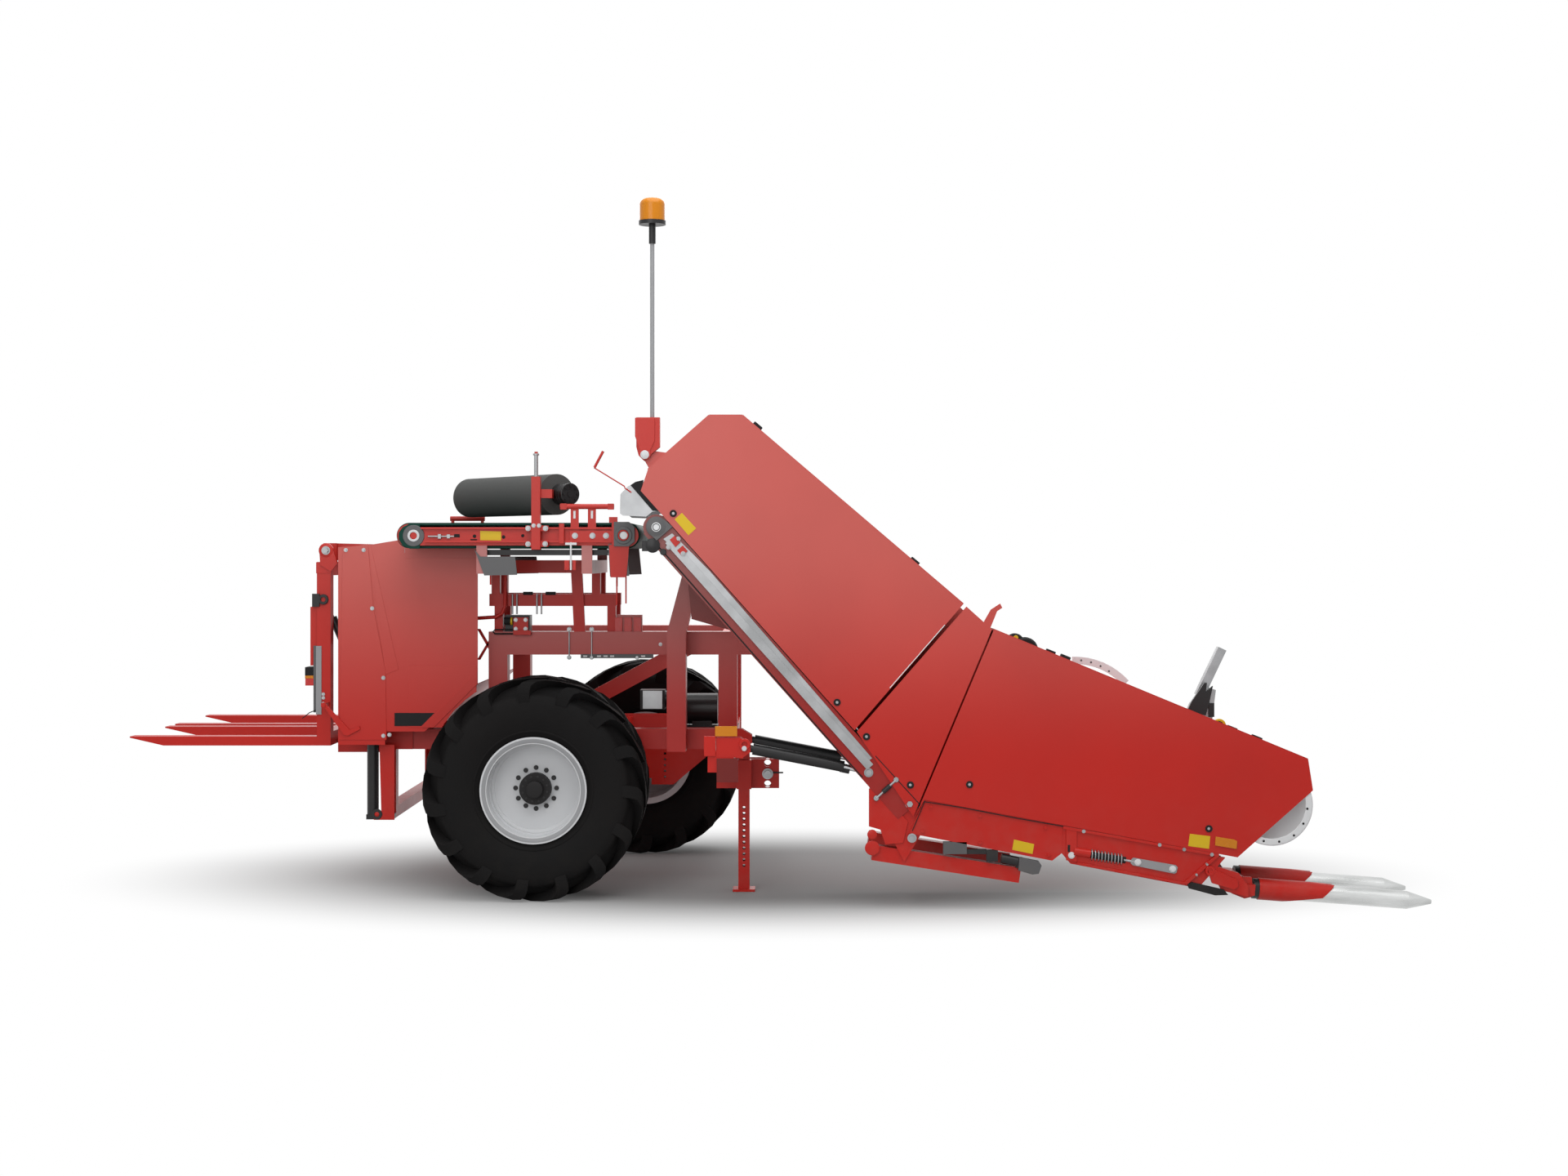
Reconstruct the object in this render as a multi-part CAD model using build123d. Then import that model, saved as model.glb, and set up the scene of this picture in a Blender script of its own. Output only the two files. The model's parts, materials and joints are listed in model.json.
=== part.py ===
"""Trailed one-row cabbage harvester, in millimetres.

+X is the way it travels, +Z is up and -Y is the side with the picking unit.
The origin is on the ground, midway between the fork tips and the lifting cones' tips.
"""

import os
from math import cos, hypot, pi, radians, sin

from build123d import *

os.makedirs("parts", exist_ok=True)

# Shared fits
RUNNING_GAP = 5
PIN_GAP = 0.3
CUT_OVERRUN = 10
SHEET = 6
ACROSS = Vector(0, 1, 0)

# Wheels
TYRE_DIAMETER = 1270
TYRE_WIDTH = 560
TYRE_WALL = 34
LUG_HEIGHT = 24
LUG_WIDTH = 150
LUG_LENGTH = 92
LUG_ROOT = 29
LUG_SETBACK = 4
LUGS_PER_SIDE = 22
HALF_STEP = 0.5
BULGE_SHARE = 0.5
SHOULDER_SHARE = 0.93
TREAD_SHARE = 0.82
RIM_DIAMETER = 610
RIM_WALL = 14
RIM_SEAT_WIDTH = 470
RIM_FLANGE = 24
DISC_DEPTH = 150
DISC_THICKNESS = 18
STUD_CIRCLE = 236
STUD_HOLE = 24
STUD_COUNT = 12
HUB_DIAMETER = 182
HUB_LENGTH = 240
HUB_STANDOUT = 60
HUB_CAP_DIAMETER = 96
HUB_CAP_LENGTH = 34
AXLE_DIAMETER = 90
AXLE_REACH_IN_HUB = 200
NEAR_WHEEL_X = -1299
NEAR_WHEEL_Y = -845
TRACK = 1990
WHEEL_STAGGER = 511

# Chassis frame
RAIL_WIDTH = 120
NEAR_RAIL_Y = -510
FAR_RAIL_INSET = 385
LOWER_RAIL_Z = 820
LOWER_RAIL_HEIGHT = 120
UPPER_RAIL_Z = 1383
UPPER_RAIL_HEIGHT = 137
RAIL_REAR_X = -2182
LOWER_RAIL_FRONT_X = -150
UPPER_RAIL_REAR_X = -1632
UPPER_RAIL_FRONT_X = -42
POST_WIDTH = 112
CROSS_TUBE = 100
MIDDLE_CROSS_X = -902
REAR_BEAM_LENGTH = 100
AXLE_LEG_LENGTH = 220
AXLE_LEG_WIDTH = 90
AXLE_LEG_DROP = 110
BRACE_FOOT = 210
LEG_GUSSET = 20
LEG_GUSSET_LENGTH = 427
LEG_GUSSET_STEP = 97
LEG_GUSSET_DROP = 337
LEG_HOLE = 16
LEG_HOLES = 6
LEG_HOLE_PITCH = 38

# Post that carries the picking unit
BENT_POST_X = -560
BENT_POST_LENGTH = 111
BENT_POST_NEAR_Y = -690
BENT_POST_TOP_Z = 1864
BENT_POST_LEAN = 92
BENT_POST_TOP_DROP = 86
CARRIER_PLATE = 20
CARRIER_EYE = 48
CARRIER_ROOT = 60
PIVOT_SHAFT_DIAMETER = 50

# Outrigger, stand and hitch
OUTRIGGER_X = -295
OUTRIGGER_LENGTH = 145
OUTRIGGER_NEAR_Y = -1395
OUTRIGGER_Z = 770
OUTRIGGER_HEIGHT = 121
STAND_TUBE = 66
STAND_WALL = 6
STAND_GUIDE_WALL = 10
STAND_GUIDE_Z = 600
STAND_GUIDE_HEIGHT = 170
STAND_GUIDE_GAP = 0.4
STAND_Y = -645
STAND_TOP_Z = 860
STAND_FOOT_LENGTH = 130
STAND_FOOT_THICKNESS = 14
STAND_HOLE = 18
STAND_HOLE_PITCH = 34
STAND_HOLES = 11
STAND_FIRST_HOLE_Z = 150
HITCH_PLATE = 20
HITCH_GAP = 80
HITCH_REACH = 250
HITCH_Z = 597
HITCH_HEIGHT = 173
HITCH_HOLE = 42
HITCH_HOLE_PITCH = 62
HITCH_HOLE_X = 32
HITCH_HOLE_TOP_Z = 745
HITCH_PIN_STANDOUT = 46
HITCH_PIN_HEAD = 64
HITCH_PIN_HEAD_LENGTH = 14
HITCH_BOX_LENGTH = 120

# Cylinders that lift the picking unit
LIFT_BARREL = 62
LIFT_ROD = 32
LIFT_BARREL_LENGTH = 560
LIFT_INSET = 65
LIFT_PIN = 28
LIFT_EYE = 62
LIFT_EYE_WIDTH = 40
LIFT_EYE_SLACK = 8
LIFT_BASE_X = -88
LIFT_BASE_Z = 905
LIFT_EAR = 14
EAR_OUTLINE_SHARES = ((0, -0.35), (0, 0.5), (0.7, 0.5), (1, 0.2), (1, -0.2), (0.78, -0.45), (0.78, -0.5))
EAR_LENGTH = 191
EAR_HEIGHT = 116
LIFT_ROD_EYE_X = 600
LIFT_ROD_EYE_Z = 772

# Picking unit
UNIT_NEAR_Y = -1425
UNIT_WIDTH = 725
UNIT_BACK_X = -660
UNIT_LENGTH = 4400
UNIT_HEIGHT = 2750
UNIT_PIVOT_X = -580
UNIT_PIVOT_Z = 2130
ELEVATOR_SLOPE = 48.3
COVER_SHEET = 8
FRAME_PLATE = 12
BELT_THICKNESS = 14
BELT_MARGIN = 110
HEAD_ROLLER = 116
BEAM_LOW = -75
BEAM_HIGH = 68
BEAM_LENGTH = 2120
BEAM_START = -20
CHANNEL_LOW = -20
CHANNEL_HEIGHT = 45
CHANNEL_START = 100
CHANNEL_LENGTH = 1680
ELEVATOR_BELT_LENGTH = 2120
UPPER_BELT_RISE = 420
UPPER_BELT_START = 60
UPPER_BELT_LENGTH = 1400
CROSS_TUBE_DIAMETER = 84
TOP_LID = 10
HOOD_SHEET = 4
UPRIGHT_WIDTH = 60
UPRIGHT_HEIGHT = 50
UPRIGHT_FOOT_HEIGHT = 100

# Outlines of the picking unit's plates, each point as shares of its length and height
ELEVATOR_COVER_SHARES = (
    (0.085, 1.0),
    (0.127, 1.0),
    (0.405, 0.62),
    (0.268, 0.366),
    (-0.001, 0.848),
    (0.008, 0.891),
)
BEACON_LUG_SHARES = ((0.034, 0.925), (0.009, 0.893))
KNEE_COVER_SHARES = ((0.409, 0.615), (0.441, 0.569), (0.342, 0.192), (0.271, 0.363))
ELEVATOR_LID_SHARES = ((0.008, 0.891), (0.085, 1.0), (0.127, 1.0), (0.405, 0.62))
KNEE_STRAP_SHARES = (
    (0.431, 0.585),
    (0.4395, 0.609),
    (0.4513, 0.6212),
    (0.4541, 0.6125),
    (0.4475, 0.6056),
    (0.4395, 0.5735),
    (0.43, 0.565),
)
HOOD_SHARES = (
    (-0.0263, 0.841),
    (-0.016, 0.858),
    (0.001, 0.8695),
    (0.0136, 0.847),
    (0.026, 0.809),
    (0.0134, 0.806),
    (0.0057, 0.7962),
    (-0.0236, 0.7982),
    (-0.0267, 0.802),
)
HOOD_BACK_SHARES = ((-0.0267, 0.802), (-0.0263, 0.841), (-0.016, 0.858))
UPRIGHT_SHARES = ((0.7173, 0.427), (0.7465, 0.525))
UPRIGHT_FOOT_SHARES = ((0.702, 0.393), (0.707, 0.412), (0.724, 0.447), (0.737, 0.44), (0.732, 0.374))
FAR_GUARD_SHARES = ((0.05, 0.68), (0.0561, 0.5822), (0.111, 0.557), (0.116, 0.562))
FRONT_COVER_SHARES = (
    (0.4435, 0.5685),
    (0.839, 0.307),
    (0.845, 0.245),
    (0.75, 0.11),
    (0.356, 0.226),
    (0.3445, 0.1925),
)
SIDE_PANEL_SHARES = ((0.359, 0.236), (0.531, 0.186), (0.529, 0.118), (0.517, 0.103), (0.337, 0.158))
FRONT_BEAM_SHARES = ((0.531, 0.178), (0.735, 0.109), (0.705, 0.055), (0.69, 0.051), (0.54, 0.097), (0.529, 0.118))
HEAD_BRACKET_SHARES = ((0.285, 0.262), (0.335, 0.215), (0.365, 0.2), (0.35, 0.15), (0.331, 0.1), (0.298, 0.2))
HEAD_ARM_SHARES = ((0.715, 0.096), (0.752, 0.078), (0.764, 0.052), (0.764, 0.03), (0.73, 0.043))
INTAKE_BELT_SHARES = ((0.38, 0.165), (0.72, 0.1))
BIG_TUBE_SHARES = ((0.291, 0.118), (0.477, 0.072))
DRUM_SHARES = (0.799, 0.211)
FRONT_ROLLER_SHARES = (0.5, 0.4)
DRUM_DIAMETER = 456
DRUM_FLANGE = 10
DRUM_CORE = 300
INTAKE_ROLLER = 90
INTAKE_GAP = 110

# Lifting cones
CONE_DIAMETER = 100
CONE_LENGTH = 941
CONE_NOSE_LENGTH = 137
CONE_TIP_DIAMETER = 24
CONE_SLOPE = 4.3
CONE_BACK_X = 2804.65
CONE_SHELL = 4
CONE_SHELL_LENGTH = 420
CONE_SHELL_SHARES = ((0, 1.2), (1, 0.9), (0.84, -0.3), (0.15, -1.2), (0, -1.2))
CONE_NEAR_Y = -1315
CONE_SPACING = 500
CONE_MOTOR_LENGTH = 60
CONE_MOTOR_DIAMETER = 112
HEAD_BAR = 60

# Beacon on its folding mast
BEACON_PIN_X = -648
BEACON_PIN_Z = 2529
BEACON_PIN = 30
BEACON_BOLT = 20
BEACON_Y = -1365
BEACON_BRACKET_WIDTH = 60
BEACON_BRACKET_HEIGHT = 164
BEACON_BRACKET_LENGTH = 130
BEACON_BRACKET_RISE = 48
BEACON_POLE = 24
BEACON_POLE_OFFSET = 44
BEACON_POLE_TOP_Z = 3709
BEACON_SLEEVE = 38
BEACON_SLEEVE_LENGTH = 105
BEACON_BASE = 150
BEACON_BASE_HEIGHT = 22
BEACON_DOME = 140
BEACON_DOME_HEIGHT = 125
BEACON_LUG = 12

# Cross conveyor on top
BELT_NEAR_Y = -1050
BELT_WIDTH = 1000
BELT_TAIL_X = -2010
BELT_HEAD_X = -765
BELT_AXIS_Z = 2088
BELT_ROLLER = 118
SIDE_FRAME_X = -1967
SIDE_FRAME_LENGTH = 1131
SIDE_FRAME_Z = 2031
SIDE_FRAME_HEIGHT = 95
SIDE_FRAME_WIDTH = 24
ROLLER_BOSS = 130
ROLLER_BOSS_WIDTH = 24
BEARER_SPAN_SHARES = (0.33, 0.86)
BEARER_Z = 1870
BEARER_HEIGHT = 76
BEARER_LENGTH = 60
MID_RAIL_Z = 1672
MID_RAIL_HEIGHT = 73
MID_RAIL_WIDTH = 60
MID_RAIL_NEAR_Y = -480
MID_RAIL_FAR_Y = -120
MID_RAIL_LENGTH = 758
FLAT_WIDTH = 50
PAD_BAR = 30
PAD_BAR_X = (-1146, -839)
PAD_BAR_Z = 2253
PAD_FLAT_XS = (-1063, -965)
PAD_FLAT_WIDTH = 46
FAR_BAR_X = (-1934, -1721)
FAR_BAR_Z = 2202
LEANING_POST = 25
LEANING_POST_LENGTH = 67
LEANING_POST_X = -1141
LEANING_POST_LEAN = 17
REAR_DEFLECTOR = ((-1632, 2005), (-1578, 1860), (-1391, 1864), (-1403, 1968), (-1600, 1968))
HEAD_DEFLECTOR = ((-872, 2040), (-862, 1854), (-752, 1858), (-770, 2040))

# Diverter roller over the belt
DIVERTER_DIAMETER = 236
DIVERTER_LENGTH = 1000
DIVERTER_NEAR_X = -1180
DIVERTER_NEAR_Y = -930
DIVERTER_Z = 2326
DIVERTER_TURN = 52
DIVERTER_SHAFT = 40
DIVERTER_SHAFT_STANDOUT = 30
DIVERTER_MOTOR = 120
DIVERTER_MOTOR_LENGTH = 110
DIVERTER_POST_X = -1280
DIVERTER_BRACKET = 30
DIVERTER_BRACKET_OFFSET = 78
DIVERTER_POST = 50
DIVERTER_POST_TOP_Z = 2422
DIVERTER_POST_LENGTH = 400
SPINDLE = 20
SPINDLE_TOP_Z = 2564

# Discharge walls behind the frame
WALL_NEAR_Y = -700
WALL_FAR_Y = 1200
WALL_FRONT_X = -1670
FAR_WALL_FRONT_X = -1960
WALL_TOP_Z = 1990
WALL_PEAK_Z = 2070
WALL_CORNER_Z = 2032
WALL_PEAK_X = -2100
WALL_REAR_X = -2330
WALL_SLOPE_X = -1982
WALL_SLOPE_Z = 1217
WALL_BEND_X = -2214
WALL_BEND_Z = 1296
GUARD_REAR_X = -2490
GUARD_TOP_Z = 2023
GUARD_BOTTOM_Z = 862
GUARD_GAP = 0.3

# Box mast and forks
MAST_LENGTH = 82
MAST_WIDTH = 80
MAST_WALL = 10
MAST_BOTTOM_Z = 413
MAST_TOP_Z = 2040
MAST_NEAR_Y = -520
MAST_FAR_Y = 1000
MAST_SILL = 66
CARRIAGE_PLATE = 20
CARRIAGE_GAP = 8
CARRIAGE_FRONT_GAP = 13
CARRIAGE_LENGTH = 145
CARRIAGE_BOTTOM_Z = 1250
CARRIAGE_TOP_Z = 1955
CARRIAGE_BAR = 76
CARRIAGE_FOOT_Z = 795
CARRIAGE_FOOT_REAR_X = -2546
CARRIAGE_LEG_GAP = 16
FORK_PIN_X = -2588
FORK_PIN_Z = 2009
FORK_PIN = 34
FORK_EYE = 78
FORK_POST_LENGTH = 82
FORK_POST_WIDTH = 80
FORK_POST_REAR_X = -2636
FORK_POST_TOP_Z = 1936
FORK_TOP_Z = 903
FORK_THICKNESS = 54
FORK_WIDTH = 100
FORK_TIP_X = -3743
FORK_TOE_LENGTH = 200
FORK_TOE_THICKNESS = 8
FORK_SPREAD = 1664
FORK_PLACE_SHARES = (0, 0.437, 0.568, 1)
FORK_NEAR_Y = -554
FORK_LUG = 26
TILT_BASE_X = -2506
TILT_BASE_Z = 1467
TILT_EYE_X = -2603
TILT_EYE_Z = 1685
TILT_BARREL = 50
TILT_ROD = 25
TILT_BARREL_LENGTH = 150
TILT_PIN = 20
TILT_EYE = 44
TILT_Y = -486
MAST_CYLINDER_X = -2274
MAST_CYLINDER_Y = -580
MAST_CYLINDER = 68
MAST_CYLINDER_ROD = 40
MAST_CYLINDER_BOTTOM_Z = 442
MAST_CYLINDER_TOP_Z = 1240

# Rear lamps
LAMP_BOARD_Z = 1045
LAMP_BOARD_HEIGHT = 395
LAMP_BOARD_THICKNESS = 20
LAMP_BOARD_WIDTH = 110
TAIL_LAMP_Z = 1204
TAIL_LAMP_HEIGHT = 106
TAIL_LAMP_DEPTH = 48

# Hydraulics on the frame
VALVE_X = -1534
VALVE_LENGTH = 147
VALVE_HEIGHT = 98
DRUM_TANK_X = (-468, -277)
DRUM_TANK = 188
TANK_WIDTH = 260
PUMP_X = (-749, -599)
PUMP_HEIGHT = 119
PUMP_WIDTH = 130
PUMP_RISE = 57
PUMP_NECK = 104
HOSE_RACK_X = (-870, -720)
HOSE_RACK_HEIGHT = 99
HOSE_RACK_WIDTH = 60


def block(x_span, y_span, z_span):
    """A box between a low and a high value along each axis."""
    spans = (x_span, y_span, z_span)
    centre = [(low + high) / 2 for low, high in spans]
    sides = [high - low for low, high in spans]
    return Pos(*centre) * Box(*sides)


def from_low(low, length):
    """A span from its low end."""
    return (low, low + length)


def about(centre, length):
    """A span about its centre."""
    return (centre - length / 2, centre + length / 2)


def side_plate(outline, near_y, thickness):
    """A plate whose outline is drawn in X and Z."""
    face = Plane.XZ * Polygon(*outline, align=None)
    return Pos(0, near_y, 0) * extrude(face, amount=thickness, dir=ACROSS)


def bar_outline(start, end, height):
    """Four corners of a straight bar between two points in X and Z."""
    run, rise = end[0] - start[0], end[1] - start[1]
    length = hypot(run, rise)
    side_x, side_z = -rise / length * height / 2, run / length * height / 2
    return (
        (start[0] + side_x, start[1] + side_z),
        (end[0] + side_x, end[1] + side_z),
        (end[0] - side_x, end[1] - side_z),
        (start[0] - side_x, start[1] - side_z),
    )


def sloped_bar(start, end, height, near_y, width):
    return side_plate(bar_outline(start, end, height), near_y, width)


def rod(start, end, diameter):
    """A round bar between two points in space."""
    start, end = Vector(*start), Vector(*end)
    direction = end - start
    base = Plane(origin=start, z_dir=direction)
    return extrude(base * Circle(diameter / 2), amount=direction.length)


def cross_rod(x, z, near_y, length, diameter):
    """A round bar along Y."""
    return rod((x, near_y, z), (x, near_y + length, z), diameter)


def loop_outline(start, end, diameter):
    """A belt's side view round two equal rollers, as a face in X and Z."""
    core = Polygon(*bar_outline(start, end, diameter), align=None)
    caps = [Pos(point[0], point[1]) * Circle(diameter / 2) for point in (start, end)]
    return core + caps[0] + caps[1]


def belt_loop(start, end, roller, near_y, width):
    """A closed belt round two equal rollers."""
    outer = loop_outline(start, end, roller + 2 * BELT_THICKNESS)
    face = Plane.XZ * (outer - loop_outline(start, end, roller))
    return Pos(0, near_y, 0) * extrude(face, amount=width, dir=ACROSS)


def save(name, *shapes):
    """Write one node, made of one solid or of several that don't touch."""
    solids = [solid for shape in shapes for solid in shape.solids()]
    export_step(Compound(children=solids) if len(solids) > 1 else solids[0], f"parts/{name}.step")


# Wheels

def tyre():
    """Carcass open to the rim, with a block for each lug on both shoulders."""
    outer = TYRE_DIAMETER / 2 - LUG_HEIGHT
    seat = RIM_DIAMETER / 2 - RIM_FLANGE + PIN_GAP
    lip = RIM_DIAMETER / 2
    half = TYRE_WIDTH / 2
    bead = RIM_SEAT_WIDTH / 2 - PIN_GAP
    section_height = outer - seat
    bulge = seat + section_height * BULGE_SHARE
    shoulder_y = half * SHOULDER_SHARE
    tread_y = half * TREAD_SHARE
    section = (
        (seat, bead),
        (lip, bead),
        (bulge, half),
        (outer - LUG_HEIGHT, shoulder_y),
        (outer, tread_y),
        (outer, 0),
        (outer - TYRE_WALL, 0),
        (outer - TYRE_WALL, tread_y - TYRE_WALL),
        (bulge, half - TYRE_WALL),
        (seat, bead - TYRE_WALL),
    )
    far_half = revolve(Polygon(*section, align=None), Axis.Y)
    carcass = far_half + mirror(far_half, Plane.XZ)
    lug = block(
        (outer - LUG_ROOT, TYRE_DIAMETER / 2 + CUT_OVERRUN),
        (shoulder_y - LUG_WIDTH, shoulder_y - LUG_SETBACK),
        about(0, LUG_LENGTH),
    )
    lug = lug & cross_rod(0, 0, -half, TYRE_WIDTH, TYRE_DIAMETER)
    step = 360 / LUGS_PER_SIDE
    lugs = []
    for place in range(LUGS_PER_SIDE):
        lugs.append(Rot(0, place * step, 0) * lug)
        lugs.append(Rot(0, (place + HALF_STEP) * step, 0) * mirror(lug, Plane.XZ))
    return carcass.fuse(*lugs)


def rim():
    """Barrel with two flanges and a recessed, drilled disc; the outer side is -Y."""
    lip = RIM_DIAMETER / 2
    seat = lip - RIM_FLANGE
    half = RIM_SEAT_WIDTH / 2
    barrel_in = seat - RIM_WALL
    outer_y = -half - RIM_WALL
    section = (
        (barrel_in, outer_y),
        (lip, outer_y),
        (lip, -half),
        (seat, -half),
        (seat, half),
        (lip, half),
        (lip, -outer_y),
        (barrel_in, -outer_y),
    )
    barrel = revolve(Polygon(*section, align=None), Axis.Y)
    disc_y = outer_y + DISC_DEPTH
    disc = cross_rod(0, 0, disc_y, DISC_THICKNESS, 2 * barrel_in + RIM_WALL)
    hub_hole = cross_rod(0, 0, disc_y - CUT_OVERRUN, DISC_THICKNESS + 2 * CUT_OVERRUN, HUB_DIAMETER)
    body = barrel + disc - hub_hole
    for place in range(STUD_COUNT):
        angle = 2 * pi * place / STUD_COUNT
        x, z = STUD_CIRCLE / 2 * cos(angle), STUD_CIRCLE / 2 * sin(angle)
        body -= cross_rod(x, z, disc_y - CUT_OVERRUN, DISC_THICKNESS + 2 * CUT_OVERRUN, STUD_HOLE)
    return body


def hub():
    """Hub with its cap, bored for the axle from the inner side."""
    disc_y = -RIM_SEAT_WIDTH / 2 - RIM_WALL + DISC_DEPTH
    face_y = disc_y - HUB_STANDOUT
    body = cross_rod(0, 0, face_y, HUB_LENGTH, HUB_DIAMETER)
    body += cross_rod(0, 0, face_y - HUB_CAP_LENGTH, HUB_CAP_LENGTH, HUB_CAP_DIAMETER)
    bore_y = face_y + HUB_LENGTH - AXLE_REACH_IN_HUB
    bore = cross_rod(0, 0, bore_y - PIN_GAP, AXLE_REACH_IN_HUB + CUT_OVERRUN, AXLE_DIAMETER + 2 * PIN_GAP)
    return body - bore


far_wheel_x = NEAR_WHEEL_X + WHEEL_STAGGER
far_wheel_y = NEAR_WHEEL_Y + TRACK
axle_z = TYRE_DIAMETER / 2
far_rail_low_y = far_wheel_y - FAR_RAIL_INSET - RAIL_WIDTH
near_place = Pos(NEAR_WHEEL_X, NEAR_WHEEL_Y, axle_z)
far_place = Pos(far_wheel_x, far_wheel_y, axle_z) * Rot(0, 0, 180)
for side, place in (("near", near_place), ("far", far_place)):
    save(f"{side}_tyre", place * tyre())
    save(f"{side}_rim", place * rim())
    save(f"{side}_hub", place * hub())

# The axle's inner end in the hub, measured from the wheel's middle plane towards the frame
axle_end = -RIM_SEAT_WIDTH / 2 - RIM_WALL + DISC_DEPTH - HUB_STANDOUT + HUB_LENGTH - AXLE_REACH_IN_HUB

# Chassis
lower_rail_z = from_low(LOWER_RAIL_Z, LOWER_RAIL_HEIGHT)
upper_rail_z = from_low(UPPER_RAIL_Z, UPPER_RAIL_HEIGHT)
near_rail_y = from_low(NEAR_RAIL_Y, RAIL_WIDTH)
far_rail_y = from_low(far_rail_low_y, RAIL_WIDTH)
between_rails_y = (near_rail_y[1], far_rail_y[0])
between_rails_z = (lower_rail_z[1], upper_rail_z[0])
lower_cross_top_z = LOWER_RAIL_Z + LOWER_RAIL_HEIGHT / 2 + CROSS_TUBE / 2
cross_top_z = UPPER_RAIL_Z + UPPER_RAIL_HEIGHT / 2 + CROSS_TUBE / 2
rail_start_x = RAIL_REAR_X + REAR_BEAM_LENGTH
lower_rail_x = (rail_start_x, LOWER_RAIL_FRONT_X)
upper_rail_x = (UPPER_RAIL_REAR_X, UPPER_RAIL_FRONT_X)
rail_runs = ((lower_rail_x, lower_rail_z), (upper_rail_x, upper_rail_z))
rails = [block(run_x, side_y, run_z) for run_x, run_z in rail_runs for side_y in (near_rail_y, far_rail_y)]
save("frame_rails", *rails)

rear_post_x = from_low(UPPER_RAIL_REAR_X, POST_WIDTH)
front_post_x = (LOWER_RAIL_FRONT_X - POST_WIDTH, LOWER_RAIL_FRONT_X)
cross_places = (rear_post_x[0] + POST_WIDTH / 2, MIDDLE_CROSS_X, front_post_x[0] + POST_WIDTH / 2)
mast_x = (RAIL_REAR_X - MAST_LENGTH, RAIL_REAR_X)
mast_inner_y = (MAST_NEAR_Y + MAST_WIDTH, MAST_FAR_Y)
cross_members = [
    block(from_low(RAIL_REAR_X, REAR_BEAM_LENGTH), (MAST_NEAR_Y, MAST_FAR_Y + MAST_WIDTH), lower_rail_z),
    block(mast_x, mast_inner_y, from_low(MAST_BOTTOM_Z, MAST_SILL)),
    block(mast_x, mast_inner_y, (MAST_TOP_Z - MAST_SILL, MAST_TOP_Z)),
]
for x in cross_places:
    for rail_z, height in ((LOWER_RAIL_Z, LOWER_RAIL_HEIGHT), (UPPER_RAIL_Z, UPPER_RAIL_HEIGHT)):
        tube_z = about(rail_z + height / 2, CROSS_TUBE)
        cross_members.append(block(about(x, CROSS_TUBE), between_rails_y, tube_z))
save("cross_members", *cross_members)

posts = [block(rear_post_x, side_y, between_rails_z) for side_y in (near_rail_y, far_rail_y)]
posts += [block(front_post_x, side_y, between_rails_z) for side_y in (near_rail_y, far_rail_y)]
brace_start = (rear_post_x[1] + POST_WIDTH, lower_rail_z[1])
brace_end = (front_post_x[0] - POST_WIDTH, upper_rail_z[0])
brace_outline = (
    brace_start,
    (brace_start[0] + BRACE_FOOT, brace_start[1]),
    brace_end,
    (brace_end[0] - BRACE_FOOT, brace_end[1]),
)
posts.append(side_plate(brace_outline, far_rail_low_y + RAIL_WIDTH / 4, RAIL_WIDTH / 2))
rack = block(
    HOSE_RACK_X,
    about(NEAR_RAIL_Y + RAIL_WIDTH / 2, HOSE_RACK_WIDTH),
    from_low(upper_rail_z[1], HOSE_RACK_HEIGHT),
)
save("frame_posts", *posts, rack)

# Legs and stub axles
leg_z = (axle_z - AXLE_LEG_DROP, LOWER_RAIL_Z)
near_axle_tip_y = NEAR_WHEEL_Y + axle_end
far_axle_tip_y = far_wheel_y - axle_end
near_leg_y = (near_rail_y[0], near_rail_y[0] + AXLE_LEG_WIDTH)
far_leg_y = (far_rail_y[1] - AXLE_LEG_WIDTH, far_rail_y[1])
legs = (
    (NEAR_WHEEL_X, near_leg_y, near_axle_tip_y, near_leg_y[0]),
    (far_wheel_x, far_leg_y, far_leg_y[1], far_axle_tip_y),
)
leg_solids = []
for x, leg_y, start_y, end_y in legs:
    leg_solids.append(
        block(about(x, AXLE_LEG_LENGTH), leg_y, leg_z)
        + cross_rod(x, axle_z, start_y, end_y - start_y, AXLE_DIAMETER)
    )
gusset_x = far_wheel_x + AXLE_LEG_LENGTH / 4
gusset_outline = (
    (gusset_x, LOWER_RAIL_Z),
    (gusset_x + LEG_GUSSET_LENGTH, LOWER_RAIL_Z),
    (gusset_x + LEG_GUSSET_LENGTH, LOWER_RAIL_Z - LEG_GUSSET_STEP),
    (gusset_x + LEG_GUSSET_LENGTH / 3, LOWER_RAIL_Z - LEG_GUSSET_DROP),
    (gusset_x, LOWER_RAIL_Z - LEG_GUSSET_DROP),
)
gusset = side_plate(gusset_outline, far_leg_y[0], LEG_GUSSET)
for place in range(LEG_HOLES):
    z = LOWER_RAIL_Z - LEG_GUSSET_STEP - place * LEG_HOLE_PITCH
    hole_x = gusset_x + AXLE_LEG_LENGTH / 4 + LEG_HOLE * 2
    gusset -= cross_rod(hole_x, z, far_leg_y[0] - CUT_OVERRUN, LEG_GUSSET + 2 * CUT_OVERRUN, LEG_HOLE)
leg_solids[1] += gusset
save("axle_legs", *leg_solids)

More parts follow.
